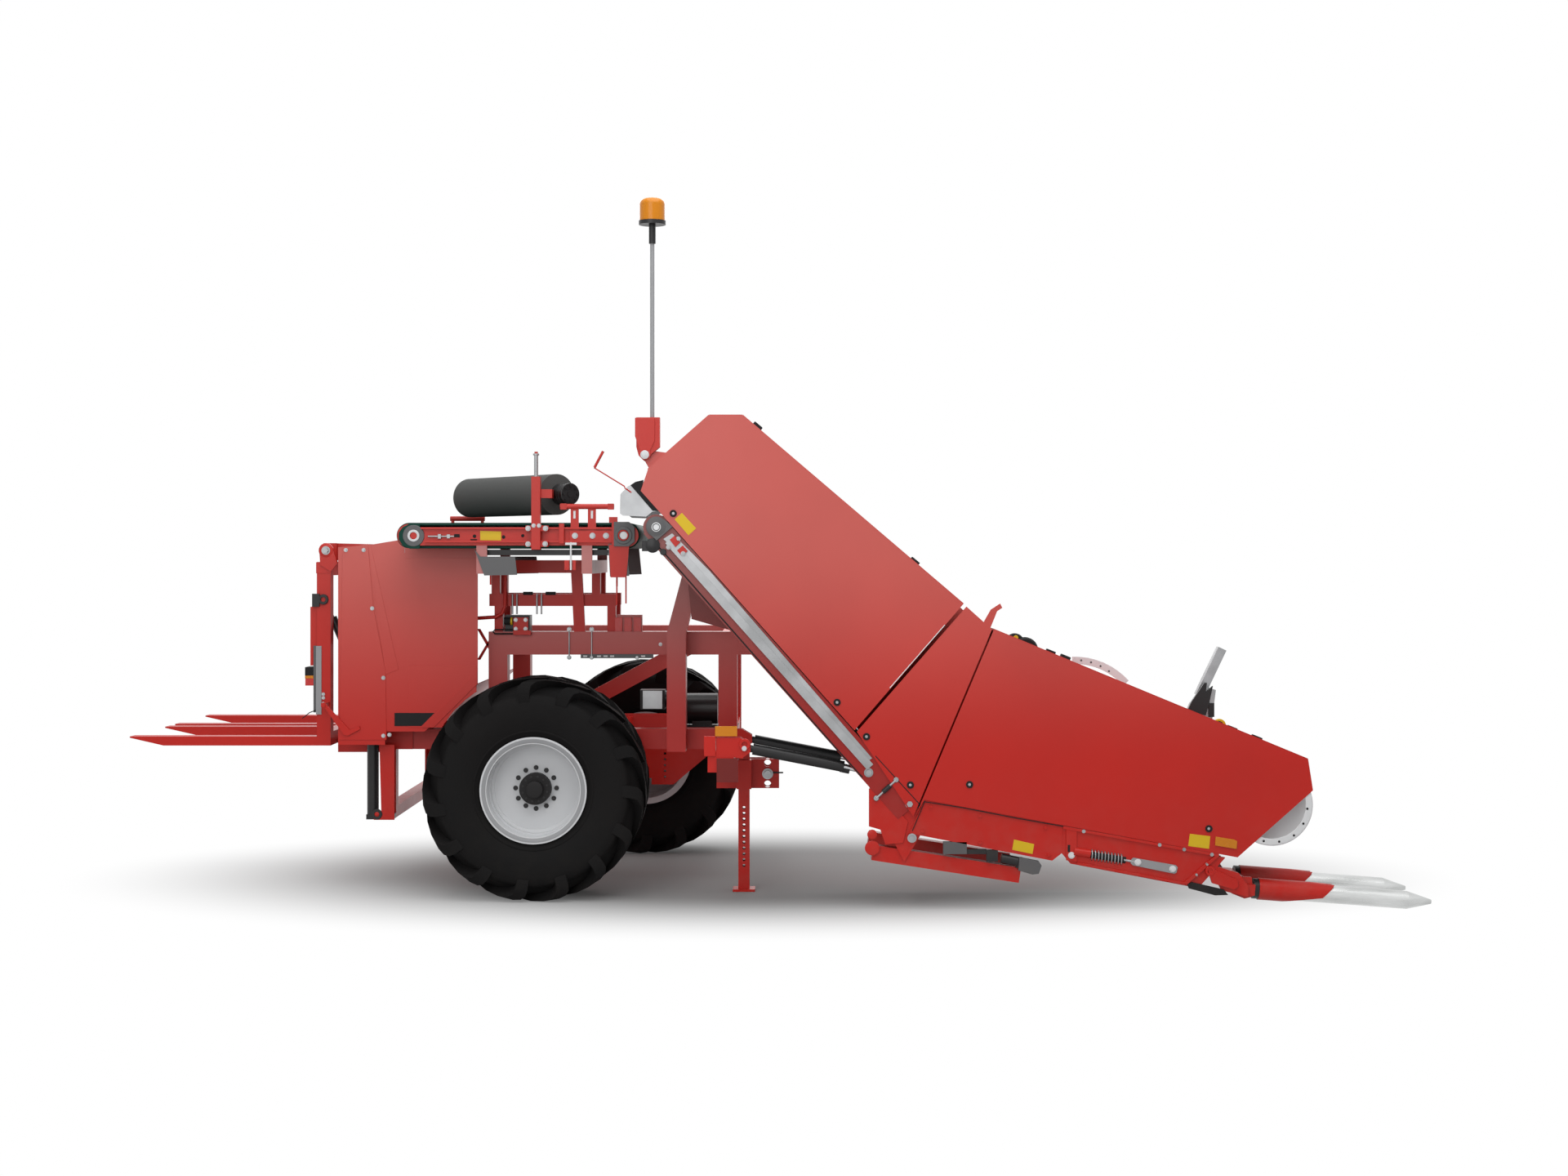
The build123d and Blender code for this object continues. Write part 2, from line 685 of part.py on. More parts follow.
# Bent post with the two plates that hold the picking unit's top shaft
upper_rail_top_z = UPPER_RAIL_Z + UPPER_RAIL_HEIGHT
bent_post_front_x = BENT_POST_X + BENT_POST_LENGTH
post_top_front_x = BENT_POST_X + BENT_POST_LEAN + BENT_POST_TOP_DROP
post_top_front_z = BENT_POST_TOP_Z - BENT_POST_TOP_DROP
post_outline = (
    (BENT_POST_X, LOWER_RAIL_Z),
    (BENT_POST_X, upper_rail_top_z),
    (BENT_POST_X + BENT_POST_LEAN, BENT_POST_TOP_Z),
    (post_top_front_x, post_top_front_z),
    (bent_post_front_x, upper_rail_top_z),
    (bent_post_front_x, LOWER_RAIL_Z),
)
bent_post = side_plate(post_outline, BENT_POST_NEAR_Y, NEAR_RAIL_Y - BENT_POST_NEAR_Y)
carrier_outline = (
    (UNIT_PIVOT_X - CARRIER_EYE, UNIT_PIVOT_Z),
    (UNIT_PIVOT_X - CARRIER_EYE / 2, UNIT_PIVOT_Z + CARRIER_EYE),
    (UNIT_PIVOT_X + CARRIER_EYE / 2, UNIT_PIVOT_Z + CARRIER_EYE),
    (UNIT_PIVOT_X + CARRIER_EYE, UNIT_PIVOT_Z),
    (post_top_front_x, post_top_front_z),
    (post_top_front_x - CARRIER_ROOT / 3, post_top_front_z - CARRIER_ROOT),
    (BENT_POST_X + BENT_POST_LEAN, BENT_POST_TOP_Z - CARRIER_ROOT),
    (BENT_POST_X + BENT_POST_LEAN, BENT_POST_TOP_Z),
)
for near_y in (BENT_POST_NEAR_Y, NEAR_RAIL_Y - CARRIER_PLATE):
    bent_post += side_plate(carrier_outline, near_y, CARRIER_PLATE)
top_shaft = cross_rod(
    UNIT_PIVOT_X, UNIT_PIVOT_Z, UNIT_NEAR_Y, NEAR_RAIL_Y - UNIT_NEAR_Y, PIVOT_SHAFT_DIAMETER
)
save("bent_post", bent_post + top_shaft)

# Outrigger with the cylinders' ears
outrigger_x = from_low(OUTRIGGER_X, OUTRIGGER_LENGTH)
outrigger_y = (OUTRIGGER_NEAR_Y, NEAR_RAIL_Y)
outrigger_z = from_low(OUTRIGGER_Z, OUTRIGGER_HEIGHT)
outrigger = block(outrigger_x, outrigger_y, outrigger_z)
unit_far_y = UNIT_NEAR_Y + UNIT_WIDTH
lift_ys = (UNIT_NEAR_Y + LIFT_INSET, unit_far_y - LIFT_INSET)
ear_start_x = LIFT_BASE_X + LIFT_EYE / 2 - EAR_LENGTH
ear_outline = [
    (ear_start_x + along * EAR_LENGTH, LIFT_BASE_Z + up * EAR_HEIGHT) for along, up in EAR_OUTLINE_SHARES
]
for y in lift_ys:
    for side in (-1, 1):
        ear_y = y + side * (LIFT_EYE_WIDTH / 2 + PIN_GAP + LIFT_EAR / 2) - LIFT_EAR / 2
        outrigger += side_plate(ear_outline, ear_y, LIFT_EAR)
    pin_length = LIFT_EYE_WIDTH + 2 * (LIFT_EAR + PIN_GAP)
    outrigger += cross_rod(LIFT_BASE_X, LIFT_BASE_Z, y - pin_length / 2, pin_length, LIFT_PIN)

# Hitch box, plates and pin
stand_x = LOWER_RAIL_FRONT_X + STAND_GUIDE_WALL + STAND_TUBE / 2 + STAND_GUIDE_GAP
guide_outer = STAND_TUBE + 2 * STAND_GUIDE_GAP + 2 * STAND_GUIDE_WALL
hitch_near_y = STAND_Y + guide_outer / 2 + PIN_GAP
hitch_z = from_low(HITCH_Z, HITCH_HEIGHT)
hitch_far_y = hitch_near_y + HITCH_PLATE + HITCH_GAP
hitch_box = block(
    (LOWER_RAIL_FRONT_X - HITCH_BOX_LENGTH, LOWER_RAIL_FRONT_X),
    (hitch_near_y, hitch_far_y + HITCH_PLATE),
    (HITCH_Z, OUTRIGGER_Z),
)
for near_y in (hitch_near_y, hitch_far_y):
    plate = block(from_low(LOWER_RAIL_FRONT_X, HITCH_REACH), from_low(near_y, HITCH_PLATE), hitch_z)
    hitch_box += plate
hitch_hole_zs = [HITCH_HOLE_TOP_Z - place * HITCH_HOLE_PITCH for place in range(3)]
hitch_width = hitch_far_y + HITCH_PLATE - hitch_near_y
for z in hitch_hole_zs:
    hole = cross_rod(HITCH_HOLE_X, z, hitch_near_y - CUT_OVERRUN, hitch_width + 2 * CUT_OVERRUN, HITCH_HOLE)
    hitch_box -= hole
save("hitch_plates", hitch_box)
pin_diameter = HITCH_HOLE - 2 * PIN_GAP
pin_start_y = hitch_near_y - HITCH_PIN_STANDOUT
hitch_pin = cross_rod(HITCH_HOLE_X, hitch_hole_zs[1], pin_start_y, hitch_width + 2 * HITCH_PIN_STANDOUT, pin_diameter)
hitch_pin += cross_rod(
    HITCH_HOLE_X, hitch_hole_zs[1], hitch_near_y - HITCH_PIN_HEAD_LENGTH, HITCH_PIN_HEAD_LENGTH, HITCH_PIN_HEAD
)
save("hitch_pin", hitch_pin)

# Parking stand in its guide
guide = block(about(stand_x, guide_outer), about(STAND_Y, guide_outer), from_low(STAND_GUIDE_Z, STAND_GUIDE_HEIGHT))
guide_bore = STAND_TUBE + 2 * STAND_GUIDE_GAP
guide -= block(
    about(stand_x, guide_bore),
    about(STAND_Y, guide_bore),
    (STAND_GUIDE_Z - CUT_OVERRUN, STAND_GUIDE_Z + STAND_GUIDE_HEIGHT + CUT_OVERRUN),
)
save("outrigger", outrigger + guide)
leg = block(about(stand_x, STAND_TUBE), about(STAND_Y, STAND_TUBE), (STAND_FOOT_THICKNESS, STAND_TOP_Z))
leg -= block(
    about(stand_x, STAND_TUBE - 2 * STAND_WALL),
    about(STAND_Y, STAND_TUBE - 2 * STAND_WALL),
    (STAND_FOOT_THICKNESS, STAND_TOP_Z + CUT_OVERRUN),
)
leg += block(about(stand_x, STAND_FOOT_LENGTH), about(STAND_Y, STAND_FOOT_LENGTH), (0, STAND_FOOT_THICKNESS))
for place in range(STAND_HOLES):
    z = STAND_FIRST_HOLE_Z + place * STAND_HOLE_PITCH
    leg -= cross_rod(stand_x, z, STAND_Y - STAND_TUBE, 2 * STAND_TUBE, STAND_HOLE)
save("stand_leg", leg)

# Lift cylinders
lift_base = (LIFT_BASE_X, LIFT_BASE_Z)
lift_tip = (LIFT_ROD_EYE_X, LIFT_ROD_EYE_Z)
lift_length = hypot(lift_tip[0] - lift_base[0], lift_tip[1] - lift_base[1])


def along_lift(share_length):
    """A point on the cylinder's axis at a distance from its base pin."""
    share = share_length / lift_length
    x = lift_base[0] + (lift_tip[0] - lift_base[0]) * share
    z = lift_base[1] + (lift_tip[1] - lift_base[1]) * share
    return x, z


barrels, rods = [], []
for y in lift_ys:
    near = y - LIFT_EYE_WIDTH / 2
    start, end = along_lift(LIFT_EYE / 2 + LIFT_EAR), along_lift(LIFT_BARREL_LENGTH)
    neck = along_lift(LIFT_PIN)
    barrel = rod((start[0], y, start[1]), (end[0], y, end[1]), LIFT_BARREL)
    barrel += rod((neck[0], y, neck[1]), (end[0], y, end[1]), LIFT_EYE_WIDTH)
    barrel += cross_rod(lift_base[0], lift_base[1], near, LIFT_EYE_WIDTH, LIFT_EYE)
    pin_hole = LIFT_PIN + 2 * PIN_GAP
    barrel -= cross_rod(lift_base[0], lift_base[1], near - CUT_OVERRUN, LIFT_EYE_WIDTH + 2 * CUT_OVERRUN, pin_hole)
    bore_start = along_lift(LIFT_EYE + LIFT_EAR)
    bore_end = along_lift(LIFT_BARREL_LENGTH + CUT_OVERRUN)
    bore = rod((bore_start[0], y, bore_start[1]), (bore_end[0], y, bore_end[1]), LIFT_ROD + 2 * PIN_GAP)
    barrels.append(barrel - bore)
    rod_start, rod_end = along_lift(LIFT_EYE + 2 * LIFT_EAR), along_lift(lift_length - LIFT_EYE / 2)
    piston = rod((rod_start[0], y, rod_start[1]), (rod_end[0], y, rod_end[1]), LIFT_ROD)
    piston += cross_rod(lift_tip[0], lift_tip[1], near, LIFT_EYE_WIDTH, LIFT_EYE + 2 * LIFT_EYE_SLACK)
    eye_hole = LIFT_PIN + 2 * LIFT_EYE_SLACK
    piston -= cross_rod(lift_tip[0], lift_tip[1], near - CUT_OVERRUN, LIFT_EYE_WIDTH + 2 * CUT_OVERRUN, eye_hole)
    rods.append(piston)
save("lift_barrels", *barrels)
save("lift_rods", *rods)


# Picking unit
def unit_point(share):
    """A point of the picking unit from its shares of length and height."""
    return UNIT_BACK_X + share[0] * UNIT_LENGTH, share[1] * UNIT_HEIGHT


def on_slope(along, up):
    """A point along the elevator from its top shaft, and square to it."""
    slope = radians(ELEVATOR_SLOPE)
    x = UNIT_PIVOT_X + along * cos(slope) + up * sin(slope)
    z = UNIT_PIVOT_Z - along * sin(slope) + up * cos(slope)
    return x, z


def slope_plate(start, length, low, high, near_y, thickness):
    corners = ((start, low), (start + length, low), (start + length, high), (start, high))
    return side_plate([on_slope(*corner) for corner in corners], near_y, thickness)


def unit_plate(shares, near_y, thickness):
    return side_plate([unit_point(share) for share in shares], near_y, thickness)


def edge_strip(shares, thickness):
    """A closing sheet that follows some of a cover's corners, between the two sides."""
    points = [unit_point(share) for share in shares]
    strip = Part()
    for start, end in zip(points, points[1:]):
        strip += sloped_bar(start, end, thickness, inner_near_y + PIN_GAP, inner_width - 2 * PIN_GAP)
    return strip


inner_near_y = UNIT_NEAR_Y + COVER_SHEET
inner_far_y = unit_far_y - COVER_SHEET
inner_width = inner_far_y - inner_near_y
lug_outline = (
    (BEACON_PIN_X - BEACON_PIN, BEACON_PIN_Z + BEACON_PIN),
    (BEACON_PIN_X + BEACON_PIN, BEACON_PIN_Z + BEACON_PIN),
    unit_point(BEACON_LUG_SHARES[0]),
    unit_point(BEACON_LUG_SHARES[1]),
)
beacon_lug = side_plate(lug_outline, BEACON_Y - BEACON_LUG / 2, BEACON_LUG)
beacon_lug -= cross_rod(BEACON_PIN_X, BEACON_PIN_Z, BEACON_Y - BEACON_LUG, 2 * BEACON_LUG, BEACON_BOLT + 2 * PIN_GAP)
elevator_covers = [edge_strip(ELEVATOR_LID_SHARES, TOP_LID) + beacon_lug]
front_covers = [edge_strip(FRONT_COVER_SHARES[:2], TOP_LID)]
for near_y in (UNIT_NEAR_Y, inner_far_y):
    elevator_covers.append(unit_plate(ELEVATOR_COVER_SHARES, near_y, COVER_SHEET))
    knee_cover = unit_plate(KNEE_COVER_SHARES, near_y, COVER_SHEET)
    if near_y == UNIT_NEAR_Y:
        knee_cover += unit_plate(KNEE_STRAP_SHARES, near_y, COVER_SHEET)
    elevator_covers.append(knee_cover)
    front_covers.append(unit_plate(FRONT_COVER_SHARES, near_y, COVER_SHEET))
save("elevator_covers", *elevator_covers)
save("front_covers", *front_covers)

panels, beams, channels, front_beams, brackets = [], [], [], [], []
lift_tip_boss = LIFT_INSET - COVER_SHEET - FRAME_PLATE - LIFT_EYE_WIDTH / 2 - PIN_GAP
for near_y, inward in ((inner_near_y, 1), (inner_far_y - FRAME_PLATE, -1)):
    beam = slope_plate(BEAM_START, BEAM_LENGTH, BEAM_LOW, BEAM_HIGH, near_y, FRAME_PLATE)
    beam += cross_rod(UNIT_PIVOT_X, UNIT_PIVOT_Z, near_y, FRAME_PLATE, HEAD_ROLLER + 2 * BELT_THICKNESS)
    shaft_hole = PIVOT_SHAFT_DIAMETER + 2 * PIN_GAP
    beam -= cross_rod(UNIT_PIVOT_X, UNIT_PIVOT_Z, near_y - CUT_OVERRUN, FRAME_PLATE + 2 * CUT_OVERRUN, shaft_hole)
    pin_reach = lift_tip_boss + LIFT_EYE_WIDTH + PIN_GAP + LIFT_EAR
    boss_y = near_y + FRAME_PLATE if inward > 0 else near_y - lift_tip_boss
    pin_y = near_y + FRAME_PLATE if inward > 0 else near_y - pin_reach
    beam += cross_rod(*lift_tip, boss_y, lift_tip_boss, LIFT_EYE)
    beam += cross_rod(*lift_tip, pin_y, pin_reach, LIFT_PIN)
    beams.append(beam)
    panels.append(unit_plate(SIDE_PANEL_SHARES, near_y, FRAME_PLATE))
    bracket_y = near_y + FRAME_PLATE if inward > 0 else near_y - FRAME_PLATE
    brackets.append(unit_plate(HEAD_BRACKET_SHARES, bracket_y, FRAME_PLATE))
    beam_y = near_y if inward > 0 else near_y - FRAME_PLATE
    front_beam = unit_plate(FRONT_BEAM_SHARES, beam_y, FRAME_PLATE * 2)
    front_beams.append(front_beam + unit_plate(HEAD_ARM_SHARES, beam_y, FRAME_PLATE * 2))
channel_high = CHANNEL_LOW + CHANNEL_HEIGHT
for near_y in (UNIT_NEAR_Y, inner_far_y):
    channels.append(slope_plate(CHANNEL_START, CHANNEL_LENGTH, CHANNEL_LOW, channel_high, near_y, COVER_SHEET))
beams[1] += unit_plate(FAR_GUARD_SHARES, inner_far_y - FRAME_PLATE, FRAME_PLATE)
save("elevator_beams", *beams)
save("side_panels", *panels)

# Outlet hood behind the elevator's head, and the upright on the front cover
hood = edge_strip(HOOD_BACK_SHARES, HOOD_SHEET)
for near_y in (inner_near_y, inner_far_y - HOOD_SHEET):
    hood += unit_plate(HOOD_SHARES, near_y, HOOD_SHEET)
upright_y = (inner_near_y + inner_far_y) / 2
upright_start, upright_end = [unit_point(share) for share in UPRIGHT_SHARES]
stake = sloped_bar(upright_start, upright_end, UPRIGHT_HEIGHT, upright_y - UPRIGHT_WIDTH / 2, UPRIGHT_WIDTH)
stake += unit_plate(UPRIGHT_FOOT_SHARES, upright_y - UPRIGHT_FOOT_HEIGHT / 2, UPRIGHT_FOOT_HEIGHT)
stake -= unit_plate(FRONT_COVER_SHARES, inner_near_y, inner_width)
stake -= front_covers[0]
save("unit_steelwork", *channels, hood, stake)
save("front_beams", *front_beams)
save("head_brackets", *brackets)

belt_near_y = inner_near_y + BELT_MARGIN
belt_width = inner_width - 2 * BELT_MARGIN
roller_near_y = inner_near_y + 2 * FRAME_PLATE
roller_width = inner_width - 4 * FRAME_PLATE
elevator_foot = on_slope(ELEVATOR_BELT_LENGTH, 0)
elevator_belt = belt_loop(on_slope(0, 0), elevator_foot, HEAD_ROLLER, belt_near_y, belt_width)
upper_ends = [on_slope(UPPER_BELT_START + share * UPPER_BELT_LENGTH, UPPER_BELT_RISE) for share in (0, 1)]
hold_down_belt = belt_loop(*upper_ends, HEAD_ROLLER, belt_near_y, belt_width)
drum_place = unit_point(DRUM_SHARES)
front_ends = (unit_point(FRONT_ROLLER_SHARES), drum_place)
front_belt = belt_loop(*front_ends, DRUM_CORE, belt_near_y, belt_width)
save("elevator_belts", elevator_belt, hold_down_belt, front_belt)

head_roller = cross_rod(UNIT_PIVOT_X, UNIT_PIVOT_Z, belt_near_y, belt_width, HEAD_ROLLER)
head_roller -= cross_rod(
    UNIT_PIVOT_X, UNIT_PIVOT_Z, belt_near_y - CUT_OVERRUN, belt_width + 2 * CUT_OVERRUN, shaft_hole
)
rollers = [head_roller, cross_rod(*elevator_foot, roller_near_y, roller_width, HEAD_ROLLER)]
rollers += [cross_rod(*place, inner_near_y, inner_width, HEAD_ROLLER) for place in upper_ends]
rollers.append(cross_rod(*front_ends[0], inner_near_y, inner_width, DRUM_CORE))

intake_ends = [unit_point(share) for share in INTAKE_BELT_SHARES]
half_belt = (belt_width - INTAKE_GAP) / 2
intake_belts = []
for near_y in (belt_near_y, belt_near_y + half_belt + INTAKE_GAP):
    intake_belts.append(belt_loop(*intake_ends, INTAKE_ROLLER, near_y, half_belt))
rollers += [cross_rod(*place, roller_near_y, roller_width, INTAKE_ROLLER) for place in intake_ends]
save("intake_belts", *intake_belts)
save("belt_rollers", *rollers)

drum = cross_rod(*drum_place, belt_near_y, belt_width, DRUM_CORE)
drum += cross_rod(*drum_place, inner_near_y, inner_width, PIVOT_SHAFT_DIAMETER)
for near_y in (belt_near_y - DRUM_FLANGE, belt_near_y + belt_width):
    drum += cross_rod(*drum_place, near_y, DRUM_FLANGE, DRUM_DIAMETER)
save("front_drum", drum)

tube_start, tube_end = [unit_point(share) for share in BIG_TUBE_SHARES]
tubes = []
for y in (roller_near_y + CROSS_TUBE_DIAMETER / 2, roller_near_y + roller_width - CROSS_TUBE_DIAMETER / 2):
    tubes.append(sloped_bar(tube_start, tube_end, CROSS_TUBE_DIAMETER, y - CROSS_TUBE_DIAMETER / 2, CROSS_TUBE_DIAMETER))
# Lifting cones
slope = radians(CONE_SLOPE)
cone_tip_z = CONE_DIAMETER / 2 * cos(slope) - CONE_NOSE_LENGTH * sin(slope)
cone_tip_x = CONE_BACK_X + CONE_LENGTH * cos(slope)
cone_tip = Pos(cone_tip_x, 0, cone_tip_z) * Rot(0, CONE_SLOPE, 0)
radius, tip = CONE_DIAMETER / 2, CONE_TIP_DIAMETER / 2
motors, shells = [], []
for side, y in (("near", CONE_NEAR_Y), ("far", CONE_NEAR_Y + CONE_SPACING)):
    section = (
        (0, 0),
        (radius, 0),
        (radius, CONE_LENGTH - CONE_NOSE_LENGTH),
        (tip, CONE_LENGTH),
        (0, CONE_LENGTH),
    )
    cone = revolve(Polygon(*section, align=None), Axis.Y)
    lie = Pos(0, y, 0) * cone_tip * Rot(0, 0, -90) * Pos(0, -CONE_LENGTH, 0)
    save(f"{side}_cone", lie * cone)
    shell_radius = CONE_MOTOR_DIAMETER / 2 + PIN_GAP + CONE_SHELL
    shell_start = -CONE_MOTOR_LENGTH / 2
    shell = cross_rod(0, 0, shell_start, CONE_SHELL_LENGTH, 2 * shell_radius)
    shell -= cross_rod(
        0, 0, shell_start - CUT_OVERRUN, CONE_SHELL_LENGTH + 2 * CUT_OVERRUN, CONE_MOTOR_DIAMETER + 2 * PIN_GAP
    )
    side_view = [(along * CONE_SHELL_LENGTH + shell_start, up * shell_radius) for along, up in CONE_SHELL_SHARES]
    window = extrude(Plane.YZ * Polygon(*side_view, align=None), amount=shell_radius, both=True)
    shells.append(lie * (shell & window))
    motors.append(lie * cross_rod(0, 0, -CONE_MOTOR_LENGTH - PIN_GAP, CONE_MOTOR_LENGTH, CONE_MOTOR_DIAMETER))
save("cone_motors", *motors)
bar_front = -CONE_LENGTH - CONE_MOTOR_LENGTH - PIN_GAP
bar_y = (roller_near_y, roller_near_y + roller_width)
cross_bar = cone_tip * block((bar_front - HEAD_BAR, bar_front), bar_y, about(0, HEAD_BAR))
save("head_tubes", *tubes, cross_bar, *shells)

# Beacon on its bracket, which folds on a bolt through the lug
bracket_x = about(BEACON_PIN_X + BEACON_POLE_OFFSET / 2, BEACON_BRACKET_LENGTH)
bracket_low = BEACON_PIN_Z + BEACON_BRACKET_RISE
bracket = block(bracket_x, about(BEACON_Y, BEACON_BRACKET_WIDTH), from_low(bracket_low, BEACON_BRACKET_HEIGHT))
for side in (-1, 1):
    cheek_y = BEACON_Y + side * (BEACON_BRACKET_WIDTH / 2 - BEACON_LUG / 2) - BEACON_LUG / 2
    cheek_outline = (
        (bracket_x[0], bracket_low),
        (bracket_x[1], bracket_low),
        (BEACON_PIN_X + BEACON_PIN, BEACON_PIN_Z),
        (BEACON_PIN_X, BEACON_PIN_Z - BEACON_PIN),
        (BEACON_PIN_X - BEACON_PIN, BEACON_PIN_Z),
    )
    bracket += side_plate(cheek_outline, cheek_y, BEACON_LUG)
bracket += cross_rod(BEACON_PIN_X, BEACON_PIN_Z, BEACON_Y - BEACON_BRACKET_WIDTH / 2, BEACON_BRACKET_WIDTH, BEACON_BOLT)
save("beacon_bracket", bracket)
pole_x = BEACON_PIN_X + BEACON_POLE_OFFSET
bracket_top = bracket_low + BEACON_BRACKET_HEIGHT
pole = rod((pole_x, BEACON_Y, bracket_top), (pole_x, BEACON_Y, BEACON_POLE_TOP_Z), BEACON_POLE)
save("beacon_pole", pole)
sleeve_top = BEACON_POLE_TOP_Z + BEACON_SLEEVE_LENGTH
base = rod((pole_x, BEACON_Y, BEACON_POLE_TOP_Z), (pole_x, BEACON_Y, sleeve_top), BEACON_SLEEVE)
base += rod((pole_x, BEACON_Y, sleeve_top), (pole_x, BEACON_Y, sleeve_top + BEACON_BASE_HEIGHT), BEACON_BASE)
save("beacon_base", base)
dome_z = sleeve_top + BEACON_BASE_HEIGHT
dome = rod((pole_x, BEACON_Y, dome_z), (pole_x, BEACON_Y, dome_z + BEACON_DOME_HEIGHT), BEACON_DOME)
dome = fillet(dome.edges().group_by(Axis.Z)[-1], BEACON_DOME / 4)
save("beacon_dome", dome)

# Cross conveyor
belt_far_y = BELT_NEAR_Y + BELT_WIDTH
tail, head = (BELT_TAIL_X, BELT_AXIS_Z), (BELT_HEAD_X, BELT_AXIS_Z)
save("conveyor_belt", belt_loop(tail, head, BELT_ROLLER, BELT_NEAR_Y, BELT_WIDTH))
frame_near_y = BELT_NEAR_Y - SIDE_FRAME_WIDTH - RUNNING_GAP
frame_far_y = belt_far_y + RUNNING_GAP
roller_span = (frame_near_y + SIDE_FRAME_WIDTH, frame_far_y)
conveyor_rollers = []
for place in (tail, head):
    conveyor_rollers.append(
        cross_rod(*place, BELT_NEAR_Y, BELT_WIDTH, BELT_ROLLER)
        + cross_rod(*place, roller_span[0], roller_span[1] - roller_span[0], PIVOT_SHAFT_DIAMETER)
    )
save("conveyor_rollers", *conveyor_rollers)
frames = []
for near_y in (frame_near_y, frame_far_y):
    frame = block(
        from_low(SIDE_FRAME_X, SIDE_FRAME_LENGTH),
        from_low(near_y, SIDE_FRAME_WIDTH),
        from_low(SIDE_FRAME_Z, SIDE_FRAME_HEIGHT),
    )
    for x in (BELT_TAIL_X, BELT_HEAD_X):
        frame += cross_rod(x, BELT_AXIS_Z, near_y, SIDE_FRAME_WIDTH, ROLLER_BOSS)
    frames.append(frame)
side_frame_top_z = SIDE_FRAME_Z + SIDE_FRAME_HEIGHT
for x in PAD_FLAT_XS:
    frames[0] += block(
        about(x, PAD_FLAT_WIDTH), (frame_near_y - SHEET, frame_near_y), (SIDE_FRAME_Z + SHEET, PAD_BAR_Z)
    )
bar_y = frame_near_y - SHEET / 2
frames[0] += rod((PAD_BAR_X[0], bar_y, PAD_BAR_Z), (PAD_BAR_X[1], bar_y, PAD_BAR_Z), PAD_BAR)
far_bar_y = frame_far_y + SIDE_FRAME_WIDTH / 2
frames[1] += rod((FAR_BAR_X[0], far_bar_y, FAR_BAR_Z), (FAR_BAR_X[1], far_bar_y, FAR_BAR_Z), PAD_BAR)
for x in FAR_BAR_X:
    inner_x = x + PAD_BAR / 2 if x == FAR_BAR_X[0] else x - PAD_BAR / 2
    frames[1] += rod((inner_x, far_bar_y, side_frame_top_z - SHEET), (inner_x, far_bar_y, FAR_BAR_Z), SPINDLE)
save("conveyor_frames", *frames)

bearer_xs = [SIDE_FRAME_X + share * SIDE_FRAME_LENGTH for share in BEARER_SPAN_SHARES]
bearer_y = (frame_near_y, frame_far_y + SIDE_FRAME_WIDTH)
bearers = []
for x in bearer_xs:
    bearer = block(about(x, BEARER_LENGTH), bearer_y, from_low(BEARER_Z, BEARER_HEIGHT))
    for near_y in (frame_near_y, frame_far_y):
        bearer += block(
            about(x, BEARER_LENGTH), from_low(near_y, SIDE_FRAME_WIDTH), (BEARER_Z + BEARER_HEIGHT, SIDE_FRAME_Z)
        )
    bearers.append(bearer)
save("conveyor_bearers", *bearers)
mid_x = from_low(UPPER_RAIL_REAR_X, MID_RAIL_LENGTH)
mid_z = from_low(MID_RAIL_Z, MID_RAIL_HEIGHT)
stand_rails = []
for near_y, foot_z in ((MID_RAIL_NEAR_Y, upper_rail_top_z), (MID_RAIL_FAR_Y, cross_top_z)):
    side_y = from_low(near_y, MID_RAIL_WIDTH)
    stand_rail = block(mid_x, side_y, mid_z)
    for x in bearer_xs:
        stand_rail += block(about(x, FLAT_WIDTH), side_y, (mid_z[1], BEARER_Z))
    for x in cross_places[:2]:
        stand_rail += block(about(x, FLAT_WIDTH), side_y, (foot_z, mid_z[0]))
    stand_rails.append(stand_rail)
tie_x = (bearer_xs[0] + BEARER_LENGTH / 2, bearer_xs[1] - BEARER_LENGTH / 2)
tie_near_y = MID_RAIL_NEAR_Y - LEANING_POST
tie = block(tie_x, from_low(tie_near_y, MID_RAIL_WIDTH), from_low(BEARER_Z, BEARER_HEIGHT))
leaning_outline = (
    (LEANING_POST_X, BEARER_Z),
    (LEANING_POST_X + LEANING_POST_LENGTH, BEARER_Z),
    (LEANING_POST_X + LEANING_POST_LENGTH + LEANING_POST_LEAN, upper_rail_top_z),
    (LEANING_POST_X + LEANING_POST_LEAN, upper_rail_top_z),
)
tie += side_plate(leaning_outline, tie_near_y, LEANING_POST)
save("conveyor_stand", *stand_rails, tie)

# Sheets under the conveyor's two ends, on both of its sides
deflectors = []
for near_y in (frame_near_y - SHEET, frame_far_y + SIDE_FRAME_WIDTH):
    deflectors.append(side_plate(REAR_DEFLECTOR, near_y, SHEET))
    deflectors.append(side_plate(HEAD_DEFLECTOR, near_y, SHEET))
save("deflector_plates", *deflectors)

# Diverter
turn = radians(DIVERTER_TURN)
away_x, away_y = -cos(turn), sin(turn)


def on_diverter(distance):
    """A point on the diverter's axis, at a distance from its near end."""
    return DIVERTER_NEAR_X + away_x * distance, DIVERTER_NEAR_Y + away_y * distance, DIVERTER_Z


